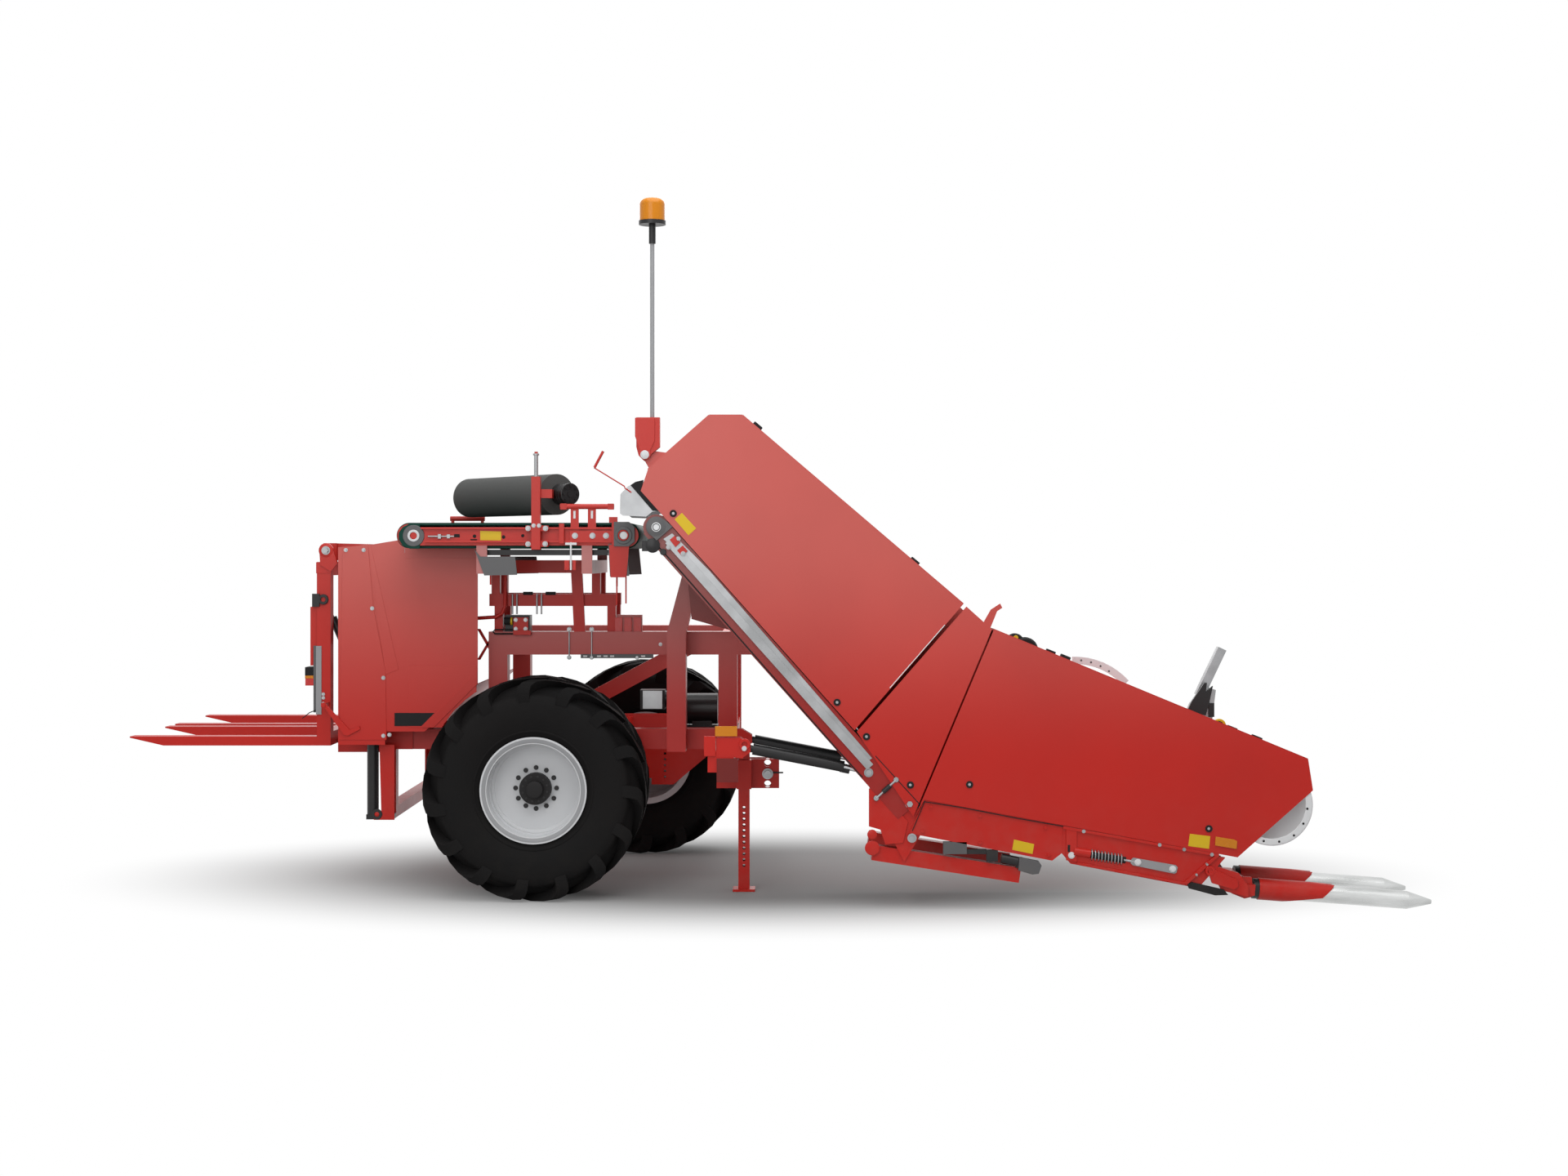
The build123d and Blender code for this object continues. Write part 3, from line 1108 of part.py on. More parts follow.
roller = rod(on_diverter(0), on_diverter(DIVERTER_LENGTH), DIVERTER_DIAMETER)
roller += rod(on_diverter(-DIVERTER_SHAFT_STANDOUT), on_diverter(0), DIVERTER_SHAFT)
save("diverter_roller", roller)
motor_start = -DIVERTER_SHAFT_STANDOUT - PIN_GAP
motor = rod(on_diverter(motor_start - DIVERTER_MOTOR_LENGTH), on_diverter(motor_start), DIVERTER_MOTOR)
save("diverter_motor", motor)
post_near_y = frame_near_y - DIVERTER_POST
motor_x, motor_y, motor_z = on_diverter(motor_start - DIVERTER_MOTOR_LENGTH / 2)
diverter_post = block(
    about(DIVERTER_POST_X, DIVERTER_POST),
    from_low(post_near_y, DIVERTER_POST),
    (DIVERTER_POST_TOP_Z - DIVERTER_POST_LENGTH, DIVERTER_POST_TOP_Z),
)
bracket_x = about(motor_x - DIVERTER_BRACKET_OFFSET, DIVERTER_BRACKET)
bracket_y = post_near_y + DIVERTER_POST / 2
diverter_post += block(
    (DIVERTER_POST_X, bracket_x[1]), from_low(bracket_y, DIVERTER_POST / 2), about(DIVERTER_Z, DIVERTER_POST)
)
diverter_post += rod(
    (DIVERTER_POST_X, post_near_y + DIVERTER_POST / 2, DIVERTER_POST_TOP_Z),
    (DIVERTER_POST_X, post_near_y + DIVERTER_POST / 2, SPINDLE_TOP_Z),
    SPINDLE,
)
diverter_post += block(bracket_x, (bracket_y, motor_y), about(DIVERTER_Z, DIVERTER_POST))
save("diverter_post", diverter_post - motor)

# Discharge walls, standing on a bent floor sheet that lies on the rails
wall_floor_z = lower_rail_z[1]
walls = []
for y, front_x in ((WALL_NEAR_Y, WALL_FRONT_X), (WALL_FAR_Y, FAR_WALL_FRONT_X)):
    wall_outline = (
        (WALL_REAR_X, WALL_CORNER_Z),
        (WALL_PEAK_X, WALL_PEAK_Z),
        (WALL_PEAK_X, WALL_TOP_Z),
        (front_x, WALL_TOP_Z),
        (front_x, WALL_SLOPE_Z),
        (WALL_SLOPE_X, wall_floor_z),
        (WALL_BEND_X, wall_floor_z),
        (WALL_BEND_X, WALL_BEND_Z),
    )
    walls.append(side_plate(wall_outline, y, SHEET))
guard_outline = (
    (GUARD_REAR_X, GUARD_TOP_Z),
    (WALL_REAR_X - GUARD_GAP, WALL_CORNER_Z),
    (WALL_BEND_X - GUARD_GAP, WALL_BEND_Z),
    (WALL_BEND_X - GUARD_GAP, GUARD_BOTTOM_Z),
    (GUARD_REAR_X, GUARD_BOTTOM_Z),
)
guards = [side_plate(guard_outline, y, SHEET) for y in (WALL_NEAR_Y, WALL_FAR_Y)]
save("discharge_walls", *walls, *guards)
floor_outline = (
    (WALL_FRONT_X, WALL_SLOPE_Z),
    (WALL_SLOPE_X, wall_floor_z),
    (RAIL_REAR_X, wall_floor_z),
    (RAIL_REAR_X, wall_floor_z + SHEET),
    (WALL_SLOPE_X, wall_floor_z + SHEET),
    (WALL_FRONT_X, WALL_SLOPE_Z + SHEET),
)
floor_y = WALL_NEAR_Y + SHEET
save("discharge_floor", side_plate(floor_outline, floor_y, WALL_FAR_Y - floor_y))

# Mast
mast_z = (MAST_BOTTOM_Z, MAST_TOP_Z)
hollow_x = (mast_x[0] + MAST_WALL, mast_x[1] - MAST_WALL)
hollow_z = (MAST_BOTTOM_Z - CUT_OVERRUN, MAST_TOP_Z + CUT_OVERRUN)
mast_sides = (
    (MAST_NEAR_Y, (MAST_NEAR_Y + MAST_WALL, mast_inner_y[0] + CUT_OVERRUN)),
    (MAST_FAR_Y, (MAST_FAR_Y - CUT_OVERRUN, MAST_FAR_Y + MAST_WIDTH - MAST_WALL)),
)
mast_posts = []
for near_y, hollow_y in mast_sides:
    mast_posts.append(block(mast_x, from_low(near_y, MAST_WIDTH), mast_z) - block(hollow_x, hollow_y, hollow_z))
save("mast_posts", *mast_posts)

# Carriage
carriage_front_x = RAIL_REAR_X - CARRIAGE_FRONT_GAP
carriage_rear_x = carriage_front_x - CARRIAGE_LENGTH
behind_mast_x = mast_x[0] - CARRIAGE_GAP
plate_outline = (
    (carriage_front_x, CARRIAGE_BOTTOM_Z),
    (carriage_front_x, CARRIAGE_TOP_Z),
    (behind_mast_x, CARRIAGE_TOP_Z),
    (behind_mast_x, MAST_TOP_Z),
    (FORK_PIN_X, FORK_PIN_Z + FORK_EYE / 2),
    (FORK_PIN_X - FORK_EYE / 2, FORK_PIN_Z),
    (FORK_PIN_X, FORK_PIN_Z - FORK_EYE / 2),
    (TILT_BASE_X + TILT_EYE, FORK_POST_TOP_Z - TILT_EYE),
    (carriage_rear_x, CARRIAGE_TOP_Z - 2 * CARRIAGE_BAR),
    (carriage_rear_x, CARRIAGE_FOOT_Z + CARRIAGE_BAR),
    (CARRIAGE_FOOT_REAR_X, CARRIAGE_FOOT_Z + CARRIAGE_BAR),
    (CARRIAGE_FOOT_REAR_X, CARRIAGE_FOOT_Z),
    (mast_x[0] - CARRIAGE_LEG_GAP, CARRIAGE_FOOT_Z),
    (mast_x[0] - CARRIAGE_LEG_GAP, CARRIAGE_BOTTOM_Z),
)
carriage_plates_y = (mast_inner_y[0] + CARRIAGE_GAP, mast_inner_y[1] - CARRIAGE_GAP - CARRIAGE_PLATE)
rod_lug_z = (MAST_TOP_Z - MAST_SILL + CARRIAGE_FRONT_GAP, MAST_TOP_Z)
bar_x = (carriage_rear_x, behind_mast_x)
plates, plate_ys = [], carriage_plates_y
carriage_roller = MAST_LENGTH - 2 * MAST_WALL - 2 * PIN_GAP
roller_reach = CARRIAGE_GAP + MAST_WIDTH / 2
for near_y, roller_start_y in ((plate_ys[0], plate_ys[0] - roller_reach), (plate_ys[1], plate_ys[1] + CARRIAGE_PLATE)):
    plate = side_plate(plate_outline, near_y, CARRIAGE_PLATE)
    pin_hole = FORK_PIN + 2 * PIN_GAP
    plate -= cross_rod(FORK_PIN_X, FORK_PIN_Z, near_y - CUT_OVERRUN, CARRIAGE_PLATE + 2 * CUT_OVERRUN, pin_hole)
    for z in (CARRIAGE_BOTTOM_Z + carriage_roller, CARRIAGE_TOP_Z - carriage_roller):
        plate += cross_rod(mast_x[0] + MAST_LENGTH / 2, z, roller_start_y, roller_reach, carriage_roller)
    plates.append(plate)
plates[0] += block(bar_x, (MAST_CYLINDER_Y - MAST_CYLINDER / 2, plate_ys[0]), rod_lug_z)
tilt_near_y = TILT_Y - TILT_EYE / 2
plates[0] += block(
    (TILT_BASE_X - TILT_EYE / 2, carriage_rear_x), from_low(plate_ys[0], CARRIAGE_PLATE), about(TILT_BASE_Z, TILT_EYE)
)
plates[0] += cross_rod(TILT_BASE_X, TILT_BASE_Z, tilt_near_y, plate_ys[0] - tilt_near_y, TILT_PIN)
save("carriage_plates", *plates)
carriage_bar_y = (plate_ys[0] + CARRIAGE_PLATE, plate_ys[1])
carriage_bars = []
for z in (CARRIAGE_BOTTOM_Z, CARRIAGE_TOP_Z - CARRIAGE_BAR):
    carriage_bars.append(block(bar_x, carriage_bar_y, from_low(z, CARRIAGE_BAR)))
foot_x = (CARRIAGE_FOOT_REAR_X, CARRIAGE_FOOT_REAR_X + CARRIAGE_BAR)
carriage_bars.append(block(foot_x, carriage_bar_y, from_low(CARRIAGE_FOOT_Z, CARRIAGE_BAR)))
save("carriage_bars", *carriage_bars)

# Cylinder that lifts the carriage
cylinder_x = MAST_CYLINDER_X - MAST_CYLINDER / 2
cylinder_low, cylinder_high = MAST_CYLINDER_BOTTOM_Z, MAST_CYLINDER_TOP_Z


def upright(low, high, diameter):
    """A round bar on the lifting cylinder's axis."""
    return rod((cylinder_x, MAST_CYLINDER_Y, low), (cylinder_x, MAST_CYLINDER_Y, high), diameter)


barrel = upright(cylinder_low, cylinder_high, MAST_CYLINDER)
barrel -= upright(cylinder_low + CUT_OVERRUN, cylinder_high + CUT_OVERRUN, MAST_CYLINDER_ROD + 2 * RUNNING_GAP)
barrel += block(
    (cylinder_x - MAST_CYLINDER / 2, mast_x[1]),
    (MAST_CYLINDER_Y - MAST_CYLINDER / 2, MAST_NEAR_Y),
    (MAST_BOTTOM_Z, cylinder_low),
)
save("mast_barrel", barrel)
save("mast_rod", upright(cylinder_high - MAST_CYLINDER_ROD, rod_lug_z[0], MAST_CYLINDER_ROD))

# Fork frame and forks
fork_post_x = from_low(FORK_POST_REAR_X, FORK_POST_LENGTH)
fork_ys = [FORK_NEAR_Y + share * FORK_SPREAD for share in FORK_PLACE_SHARES]
fork_frame_y = (fork_ys[0] - FORK_WIDTH / 2, fork_ys[-1] + FORK_WIDTH / 2)
fork_low_z = FORK_TOP_Z - FORK_THICKNESS
frame = block(fork_post_x, fork_frame_y, (FORK_POST_TOP_Z - FORK_POST_WIDTH, FORK_POST_TOP_Z))
sill_bar = block(fork_post_x, fork_frame_y, from_low(fork_low_z, FORK_POST_WIDTH))
post_span_z = (fork_low_z + FORK_POST_WIDTH, FORK_POST_TOP_Z - FORK_POST_WIDTH)
fork_posts_y = (fork_frame_y[0], fork_frame_y[1] - FORK_POST_WIDTH)
fork_posts = [block(fork_post_x, from_low(near_y, FORK_POST_WIDTH), post_span_z) for near_y in fork_posts_y]
fork_lug_z = (FORK_POST_TOP_Z, FORK_PIN_Z + FORK_EYE / 2)
lug_sides = (
    (plate_ys[0] - PIN_GAP - FORK_LUG, plate_ys[0] - PIN_GAP - FORK_LUG),
    (plate_ys[1] + CARRIAGE_PLATE + PIN_GAP, plate_ys[1]),
)
for near_y, pin_y in lug_sides:
    frame += block(about(FORK_PIN_X, FORK_EYE), from_low(near_y, FORK_LUG), fork_lug_z)
    frame += cross_rod(FORK_PIN_X, FORK_PIN_Z, pin_y, FORK_LUG + PIN_GAP + CARRIAGE_PLATE, FORK_PIN)
save("fork_bars", frame, sill_bar)
pin_length = TILT_Y + TILT_EYE / 2 - fork_posts_y[0] - FORK_POST_WIDTH
fork_posts[0] += cross_rod(TILT_EYE_X, TILT_EYE_Z, fork_posts_y[0] + FORK_POST_WIDTH, pin_length, TILT_PIN)
save("fork_posts", *fork_posts)
fork_outline = (
    (FORK_POST_REAR_X, FORK_TOP_Z),
    (FORK_TIP_X, FORK_TOP_Z),
    (FORK_TIP_X, FORK_TOP_Z - FORK_TOE_THICKNESS),
    (FORK_TIP_X + FORK_TOE_LENGTH, fork_low_z),
    (FORK_POST_REAR_X, fork_low_z),
)
save("fork_tines", *[side_plate(fork_outline, y - FORK_WIDTH / 2, FORK_WIDTH) for y in fork_ys])

# Tilt cylinder
tilt_start, tilt_end = (TILT_BASE_X, TILT_BASE_Z), (TILT_EYE_X, TILT_EYE_Z)
tilt_length = hypot(tilt_end[0] - tilt_start[0], tilt_end[1] - tilt_start[1])


def along_tilt(distance):
    share = distance / tilt_length
    x = tilt_start[0] + (tilt_end[0] - tilt_start[0]) * share
    z = tilt_start[1] + (tilt_end[1] - tilt_start[1]) * share
    return x, TILT_Y, z


through = TILT_EYE + 2 * CUT_OVERRUN
tilt_barrel = rod(along_tilt(TILT_EYE / 4), along_tilt(TILT_BARREL_LENGTH), TILT_BARREL)
tilt_barrel += cross_rod(*tilt_start, tilt_near_y, TILT_EYE, TILT_EYE)
tilt_barrel -= cross_rod(*tilt_start, tilt_near_y - CUT_OVERRUN, through, TILT_PIN + 2 * PIN_GAP)
tilt_barrel -= rod(along_tilt(TILT_EYE), along_tilt(TILT_BARREL_LENGTH + CUT_OVERRUN), TILT_ROD + 2 * PIN_GAP)
save("tilt_barrel", tilt_barrel)
tilt_rod = rod(along_tilt(TILT_EYE + PIN_GAP), along_tilt(tilt_length - TILT_EYE / 2), TILT_ROD)
tilt_rod += cross_rod(*tilt_end, tilt_near_y, TILT_EYE, TILT_EYE)
tilt_rod -= cross_rod(*tilt_end, tilt_near_y - CUT_OVERRUN, through, TILT_PIN + 2 * RUNNING_GAP)
save("tilt_rod", tilt_rod)

# Lamps
board_x = (FORK_POST_REAR_X - LAMP_BOARD_THICKNESS, FORK_POST_REAR_X)
board = block(board_x, from_low(fork_frame_y[0], LAMP_BOARD_WIDTH), from_low(LAMP_BOARD_Z, LAMP_BOARD_HEIGHT))
save("lamp_board", board)
lamp = block(
    (board_x[0] - TAIL_LAMP_DEPTH, board_x[0]),
    from_low(fork_frame_y[0], LAMP_BOARD_WIDTH),
    from_low(TAIL_LAMP_Z, TAIL_LAMP_HEIGHT),
)
save("tail_lamp", lamp)

# Valve block and hydraulic tank on the frame
valve = block(
    from_low(VALVE_X, VALVE_LENGTH), about(NEAR_RAIL_Y + RAIL_WIDTH / 2, RAIL_WIDTH), from_low(upper_rail_z[1], VALVE_HEIGHT)
)
tank_y = from_low(between_rails_y[0] + RAIL_WIDTH, TANK_WIDTH)
tank_middle_y = (tank_y[0] + tank_y[1]) / 2
shelf_top_z = lower_cross_top_z + SHEET
tank_axis_z = shelf_top_z + SHEET + DRUM_TANK / 2
pump_axis_z = tank_axis_z + PUMP_RISE
tank = rod((DRUM_TANK_X[0], tank_middle_y, tank_axis_z), (DRUM_TANK_X[1], tank_middle_y, tank_axis_z), DRUM_TANK)
tank += rod((PUMP_X[1], tank_middle_y, pump_axis_z), (DRUM_TANK_X[0], tank_middle_y, pump_axis_z), PUMP_NECK)
tank += block(PUMP_X, about(tank_middle_y, PUMP_WIDTH), about(pump_axis_z, PUMP_HEIGHT))
tank += block(
    (DRUM_TANK_X[0], front_post_x[1]), tank_y, (lower_cross_top_z, shelf_top_z)
)
tank += block(about((DRUM_TANK_X[0] + DRUM_TANK_X[1]) / 2, RAIL_WIDTH), about(tank_middle_y, RAIL_WIDTH), (shelf_top_z, tank_axis_z))
save("hydraulic_blocks", valve, tank)
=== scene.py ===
# %% [markdown]
# # A trailed cabbage harvester, dressed around its solid frame
# The solids already have the machine's main shapes. This script gives them their finishes and adds what
# is too fine for solids: tyre treads, bolts, seams, latches, springs and small castings. Each piece rides
# on the body that carries it, so that it moves with the joints.

# %% Load the frame
import json
from math import cos, pi, radians, sin

import bmesh
import bpy
from mathutils import Matrix, Vector


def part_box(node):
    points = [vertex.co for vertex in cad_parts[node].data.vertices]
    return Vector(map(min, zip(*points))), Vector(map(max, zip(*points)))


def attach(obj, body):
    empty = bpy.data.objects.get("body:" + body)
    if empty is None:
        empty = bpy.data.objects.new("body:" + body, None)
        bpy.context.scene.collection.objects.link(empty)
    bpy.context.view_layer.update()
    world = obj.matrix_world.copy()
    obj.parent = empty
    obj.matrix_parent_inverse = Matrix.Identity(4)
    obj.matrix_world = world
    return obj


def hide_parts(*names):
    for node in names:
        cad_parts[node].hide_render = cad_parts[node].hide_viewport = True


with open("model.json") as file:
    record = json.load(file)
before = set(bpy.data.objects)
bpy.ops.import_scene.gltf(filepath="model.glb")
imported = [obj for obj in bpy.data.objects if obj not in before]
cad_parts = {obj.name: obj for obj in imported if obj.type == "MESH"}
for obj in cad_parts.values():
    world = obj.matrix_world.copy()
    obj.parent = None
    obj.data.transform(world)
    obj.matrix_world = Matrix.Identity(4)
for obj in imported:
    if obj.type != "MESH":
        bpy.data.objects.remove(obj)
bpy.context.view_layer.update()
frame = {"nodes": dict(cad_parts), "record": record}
nodes = frame["nodes"]
scene = bpy.context.scene

# %% [markdown]
# ## Camera
# The picture was taken square to the machine's right-hand side, from about 13 m, with no tilt: both
# wheels show as true circles. The eye line lies a little above the middle of the picture, and a small
# lens shift does that without tilting the camera, so that upright posts stay upright. The same numbers
# turn a place in the picture into metres at a known depth, and `seen` does that for the small fittings.

# %% Camera
IMAGE_WIDTH = 1920
MIDDLE_U = 960
MIDDLE_V = 720
EYE_LINE_V = 680
FOCAL_PIXELS = 2632
CAMERA_PLACE = Vector((0.129, -13.325, 1.975))
LEVEL_TURN = (radians(90), 0, 0)
SENSOR_WIDTH = 36


def new_object(name, data):
    made = bpy.data.objects.new(name, data)
    scene.collection.objects.link(made)
    return made


camera_data = bpy.data.cameras.new("camera")
camera_data.sensor_width = SENSOR_WIDTH
camera_data.lens = FOCAL_PIXELS / IMAGE_WIDTH * SENSOR_WIDTH
camera_data.shift_y = (EYE_LINE_V - MIDDLE_V) / IMAGE_WIDTH
camera = new_object("camera", camera_data)
camera.location = CAMERA_PLACE
camera.rotation_euler = LEVEL_TURN
scene.camera = camera


def scale_at(depth_y):
    """Metres for one pixel at that depth."""
    return (depth_y - CAMERA_PLACE.y) / FOCAL_PIXELS


def seen(u, v, depth_y):
    """The place in metres that shows at (u, v) in the picture and lies at that depth."""
    scale = scale_at(depth_y)
    x = CAMERA_PLACE.x + (u - MIDDLE_U) * scale
    z = CAMERA_PLACE.z - (v - EYE_LINE_V) * scale
    return Vector((x, depth_y, z))


print("lens", round(camera_data.lens, 2), "mm, shift", round(camera_data.shift_y, 4))

# %% [markdown]
# ## World
# A studio sweep is white all round. A curved backdrop could do that, but its shading would show behind
# the machine. Here the world is plain white to the camera, in gloss and through glass, and weaker as a
# light, so that the background stays clean and the paint keeps its colour.

# %% World
WORLD_STRENGTH = 0.62
WHITE = (1, 1, 1, 1)


def link_all(tree, pairs):
    for source, target in pairs:
        tree.links.new(source, target)


def feed(tree, socket, value):
    """Sets a socket to a value, or links it where the value is another node's socket."""
    if isinstance(value, bpy.types.NodeSocket):
        tree.links.new(value, socket)
    else:
        socket.default_value = value


def math_node(tree, operation, *values):
    """One step of arithmetic; each value is a number or a socket."""
    step = tree.nodes.new("ShaderNodeMath")
    step.operation = operation
    for socket, value in zip(step.inputs, values):
        feed(tree, socket, value)
    return step.outputs[0]


def seen_as_background(tree):
    """One where a ray comes from the camera or by way of glass or gloss, so that all meet the same white."""
    path = tree.nodes.new("ShaderNodeLightPath")
    direct = math_node(tree, "MAXIMUM", path.outputs["Is Camera Ray"], path.outputs["Is Glossy Ray"])
    return math_node(tree, "MAXIMUM", direct, path.outputs["Is Transmission Ray"])


world = bpy.data.worlds.new("studio")
scene.world = world
world.use_nodes = True
tree = world.node_tree
tree.nodes.clear()
lighting = tree.nodes.new("ShaderNodeBackground")
lighting.inputs["Strength"].default_value = WORLD_STRENGTH
backdrop = tree.nodes.new("ShaderNodeBackground")
backdrop.inputs["Color"].default_value = WHITE
mixed = tree.nodes.new("ShaderNodeMixShader")
world_out = tree.nodes.new("ShaderNodeOutputWorld")
link_all(
    tree,
    (
        (seen_as_background(tree), mixed.inputs[0]),
        (lighting.outputs[0], mixed.inputs[1]),
        (backdrop.outputs[0], mixed.inputs[2]),
        (mixed.outputs[0], world_out.inputs[0]),
    ),
)
print("world strength as a light:", WORLD_STRENGTH)

# %% [markdown]
# ## Floor
# The floor has to take the machine's shadow and still pass into the white behind it without an edge. It
# is a matt plane that turns into an even white glow further out, in an oval that is wider than deep, as
# the machine is. Inside the oval the camera sees a darker shade than the light does, which is painted
# shade that deepens the machine's shadow. Light that bounces off the floor meets the paler shade, so that
# the undersides stay light.

# %% Floor
FLOOR_SIZE = 120
FLOOR_DROP = 0.0005
# The floor's shade as the camera sees it near the machine, darker than the bounce shade: painted shade that
# deepens the shadow.
FLOOR_PAINTED_SHADE = 0.3
FLOOR_BOUNCE = 0.55
FLOOR_GLOW = 0.02
FLOOR_OVAL = (0.55, 1, 0)
FLOOR_WHITE_FROM = 0.9
FLOOR_WHITE_TO = 2.4


def range_node(tree, source, low, high, to_low=0.0, to_high=1.0, smooth=False):
    """Spreads low to high over a new range; the four ends are numbers or sockets."""
    spread = tree.nodes.new("ShaderNodeMapRange")
    if smooth:
        spread.interpolation_type = "SMOOTHSTEP"
    tree.links.new(source, spread.inputs["Value"])
    for label, value in zip(("From Min", "From Max", "To Min", "To Max"), (low, high, to_low, to_high)):
        feed(tree, spread.inputs[label], value)
    return spread.outputs[0]


def mesh_from(bm, name):
    """Ends the work on a mesh."""
    mesh = bpy.data.meshes.new(name)
    bm.to_mesh(mesh)
    bm.free()
    return mesh


floor_material = bpy.data.materials.new("studio_floor")
floor_material.use_nodes = True
tree = floor_material.node_tree
tree.nodes.clear()
looked_at = seen_as_background(tree)
matt = tree.nodes.new("ShaderNodeBsdfDiffuse")
glow = tree.nodes.new("ShaderNodeEmission")
near_floor = tree.nodes.new("ShaderNodeAddShader")
floor_place = tree.nodes.new("ShaderNodeTexCoord")
squeezed = tree.nodes.new("ShaderNodeVectorMath")
squeezed.operation = "MULTIPLY"
squeezed.inputs[1].default_value = FLOOR_OVAL
far_off = tree.nodes.new("ShaderNodeVectorMath")
far_off.operation = "LENGTH"
whiter = range_node(tree, far_off.outputs["Value"], FLOOR_WHITE_FROM, FLOOR_WHITE_TO, smooth=True)
white = tree.nodes.new("ShaderNodeEmission")
whole_floor = tree.nodes.new("ShaderNodeMixShader")
floor_out = tree.nodes.new("ShaderNodeOutputMaterial")
link_all(
    tree,
    (
        (range_node(tree, looked_at, 0.0, 1.0, FLOOR_BOUNCE, FLOOR_PAINTED_SHADE), matt.inputs["Color"]),
        (math_node(tree, "MULTIPLY", looked_at, FLOOR_GLOW), glow.inputs["Strength"]),
        (matt.outputs[0], near_floor.inputs[0]),
        (glow.outputs[0], near_floor.inputs[1]),
        (floor_place.outputs["Object"], squeezed.inputs[0]),
        (squeezed.outputs[0], far_off.inputs[0]),
        (math_node(tree, "MULTIPLY", whiter, looked_at), whole_floor.inputs[0]),
        (near_floor.outputs[0], whole_floor.inputs[1]),
        (white.outputs[0], whole_floor.inputs[2]),
        (whole_floor.outputs[0], floor_out.inputs[0]),
    ),
)
bm = bmesh.new()
bmesh.ops.create_grid(bm, x_segments=1, y_segments=1, size=FLOOR_SIZE / 2)
floor = new_object("studio_floor", mesh_from(bm, "studio_floor"))
floor.data.materials.append(floor_material)
floor.location = (0, 0, -FLOOR_DROP)
print("floor:", FLOOR_SIZE, "m square")

# %% [markdown]
# ## Lamps
# A broad lamp overhead gives the pale sheen along the top of the covers. A weaker one from the camera's
# side opens the shadows, and one behind the machine lights its far side.

# %% Lamps
LAMPS = (
    # name, place, aim, size, watts
    ("overhead", (0.5, -3.5, 9.0), (0.0, 0.0, 1.2), 9.0, 620),
    ("camera_side", (-3.0, -11.0, 4.5), (0.3, 0.0, 1.2), 6.0, 260),
    ("far_side", (-1.0, 8.0, 6.5), (0.0, 0.0, 1.2), 7.0, 300),
)
for name, place, aim, size, watts in LAMPS:
    lamp_data = bpy.data.lights.new(name, "AREA")
    lamp_data.size = size
    lamp_data.energy = watts
    lamp = new_object(name, lamp_data)
    lamp.location = place
    lamp.rotation_mode = "QUATERNION"
    lamp.rotation_quaternion = (Vector(aim) - Vector(place)).to_track_quat("-Z", "Y")
scene.view_settings.view_transform = "Standard"
print("lamps:", len(LAMPS))

# %% [markdown]
# ## Effects that the finishes share
# Paint, steel and rubber all have small uneven patches, fine dust near the ground and a slight surface
# texture. A picture could be laid over them, but it would have to be unwrapped for every piece. Two
# shader groups make the effects from noise on object coordinates instead, which stays with the surface
# when a joint moves.

# %% Parts of a shader group
LOOKS = (("Colour", "NodeSocketColor"), ("Roughness", "NodeSocketFloat"), ("Height", "NodeSocketFloat"))


def group_tree(name, inputs):
    """An empty shader group with its inputs, and the three looks as outputs."""
    group = bpy.data.node_groups.new(name, "ShaderNodeTree")
    for label, kind, value in inputs:
        socket = group.interface.new_socket(name=label, in_out="INPUT", socket_type=kind)
        socket.default_value = value
    for label, kind in LOOKS:
        group.interface.new_socket(name=label, in_out="OUTPUT", socket_type=kind)
    return group, group.nodes.new("NodeGroupInput"), group.nodes.new("NodeGroupOutput")


def noise_node(tree, place, scale, detail):
    """Noise at a place; the scale is a number or a socket."""
    noise = tree.nodes.new("ShaderNodeTexNoise")
    noise.inputs["Detail"].default_value = detail
    tree.links.new(place, noise.inputs["Vector"])
    feed(tree, noise.inputs["Scale"], scale)
    return noise.outputs["Fac"]


def mix_node(tree, share, first, second):
    """A mix of two colours, which are sockets or values. In this node, 6 and 7 are the colour inputs."""
    mix = tree.nodes.new("ShaderNodeMix")
    mix.data_type = "RGBA"
    for socket, value in zip((mix.inputs[0], mix.inputs[6], mix.inputs[7]), (share, first, second)):
        feed(tree, socket, value)
    return mix.outputs[2]


print("each group puts out:", [label for label, _ in LOOKS])

# %% [markdown]
# ## Weathered surface with painted light
# Paint that has stood outside darkens in patches and catches dust near the ground. It is also painted
# a second colour towards the top, a painted highlight for the light from above. The height of a place
# decides how much painted light and how much dust it gets, and noise breaks up the patches and the dust.

# %% Weathered surface with painted light
PATCH_SCALE = 1.1
SPECK_SCALE = PATCH_SCALE * 9
PATCHES = (0.3, 0.7, 0.0, 0.12)
SPECKS = (0.42, 0.75)
GRIME_COLOUR = (0.02, 0.012, 0.01, 1)
DUST_COLOUR = (0.24, 0.2, 0.16, 1)
DUST_TOP = 0.9
SPECK_ROUGHNESS = 0.12


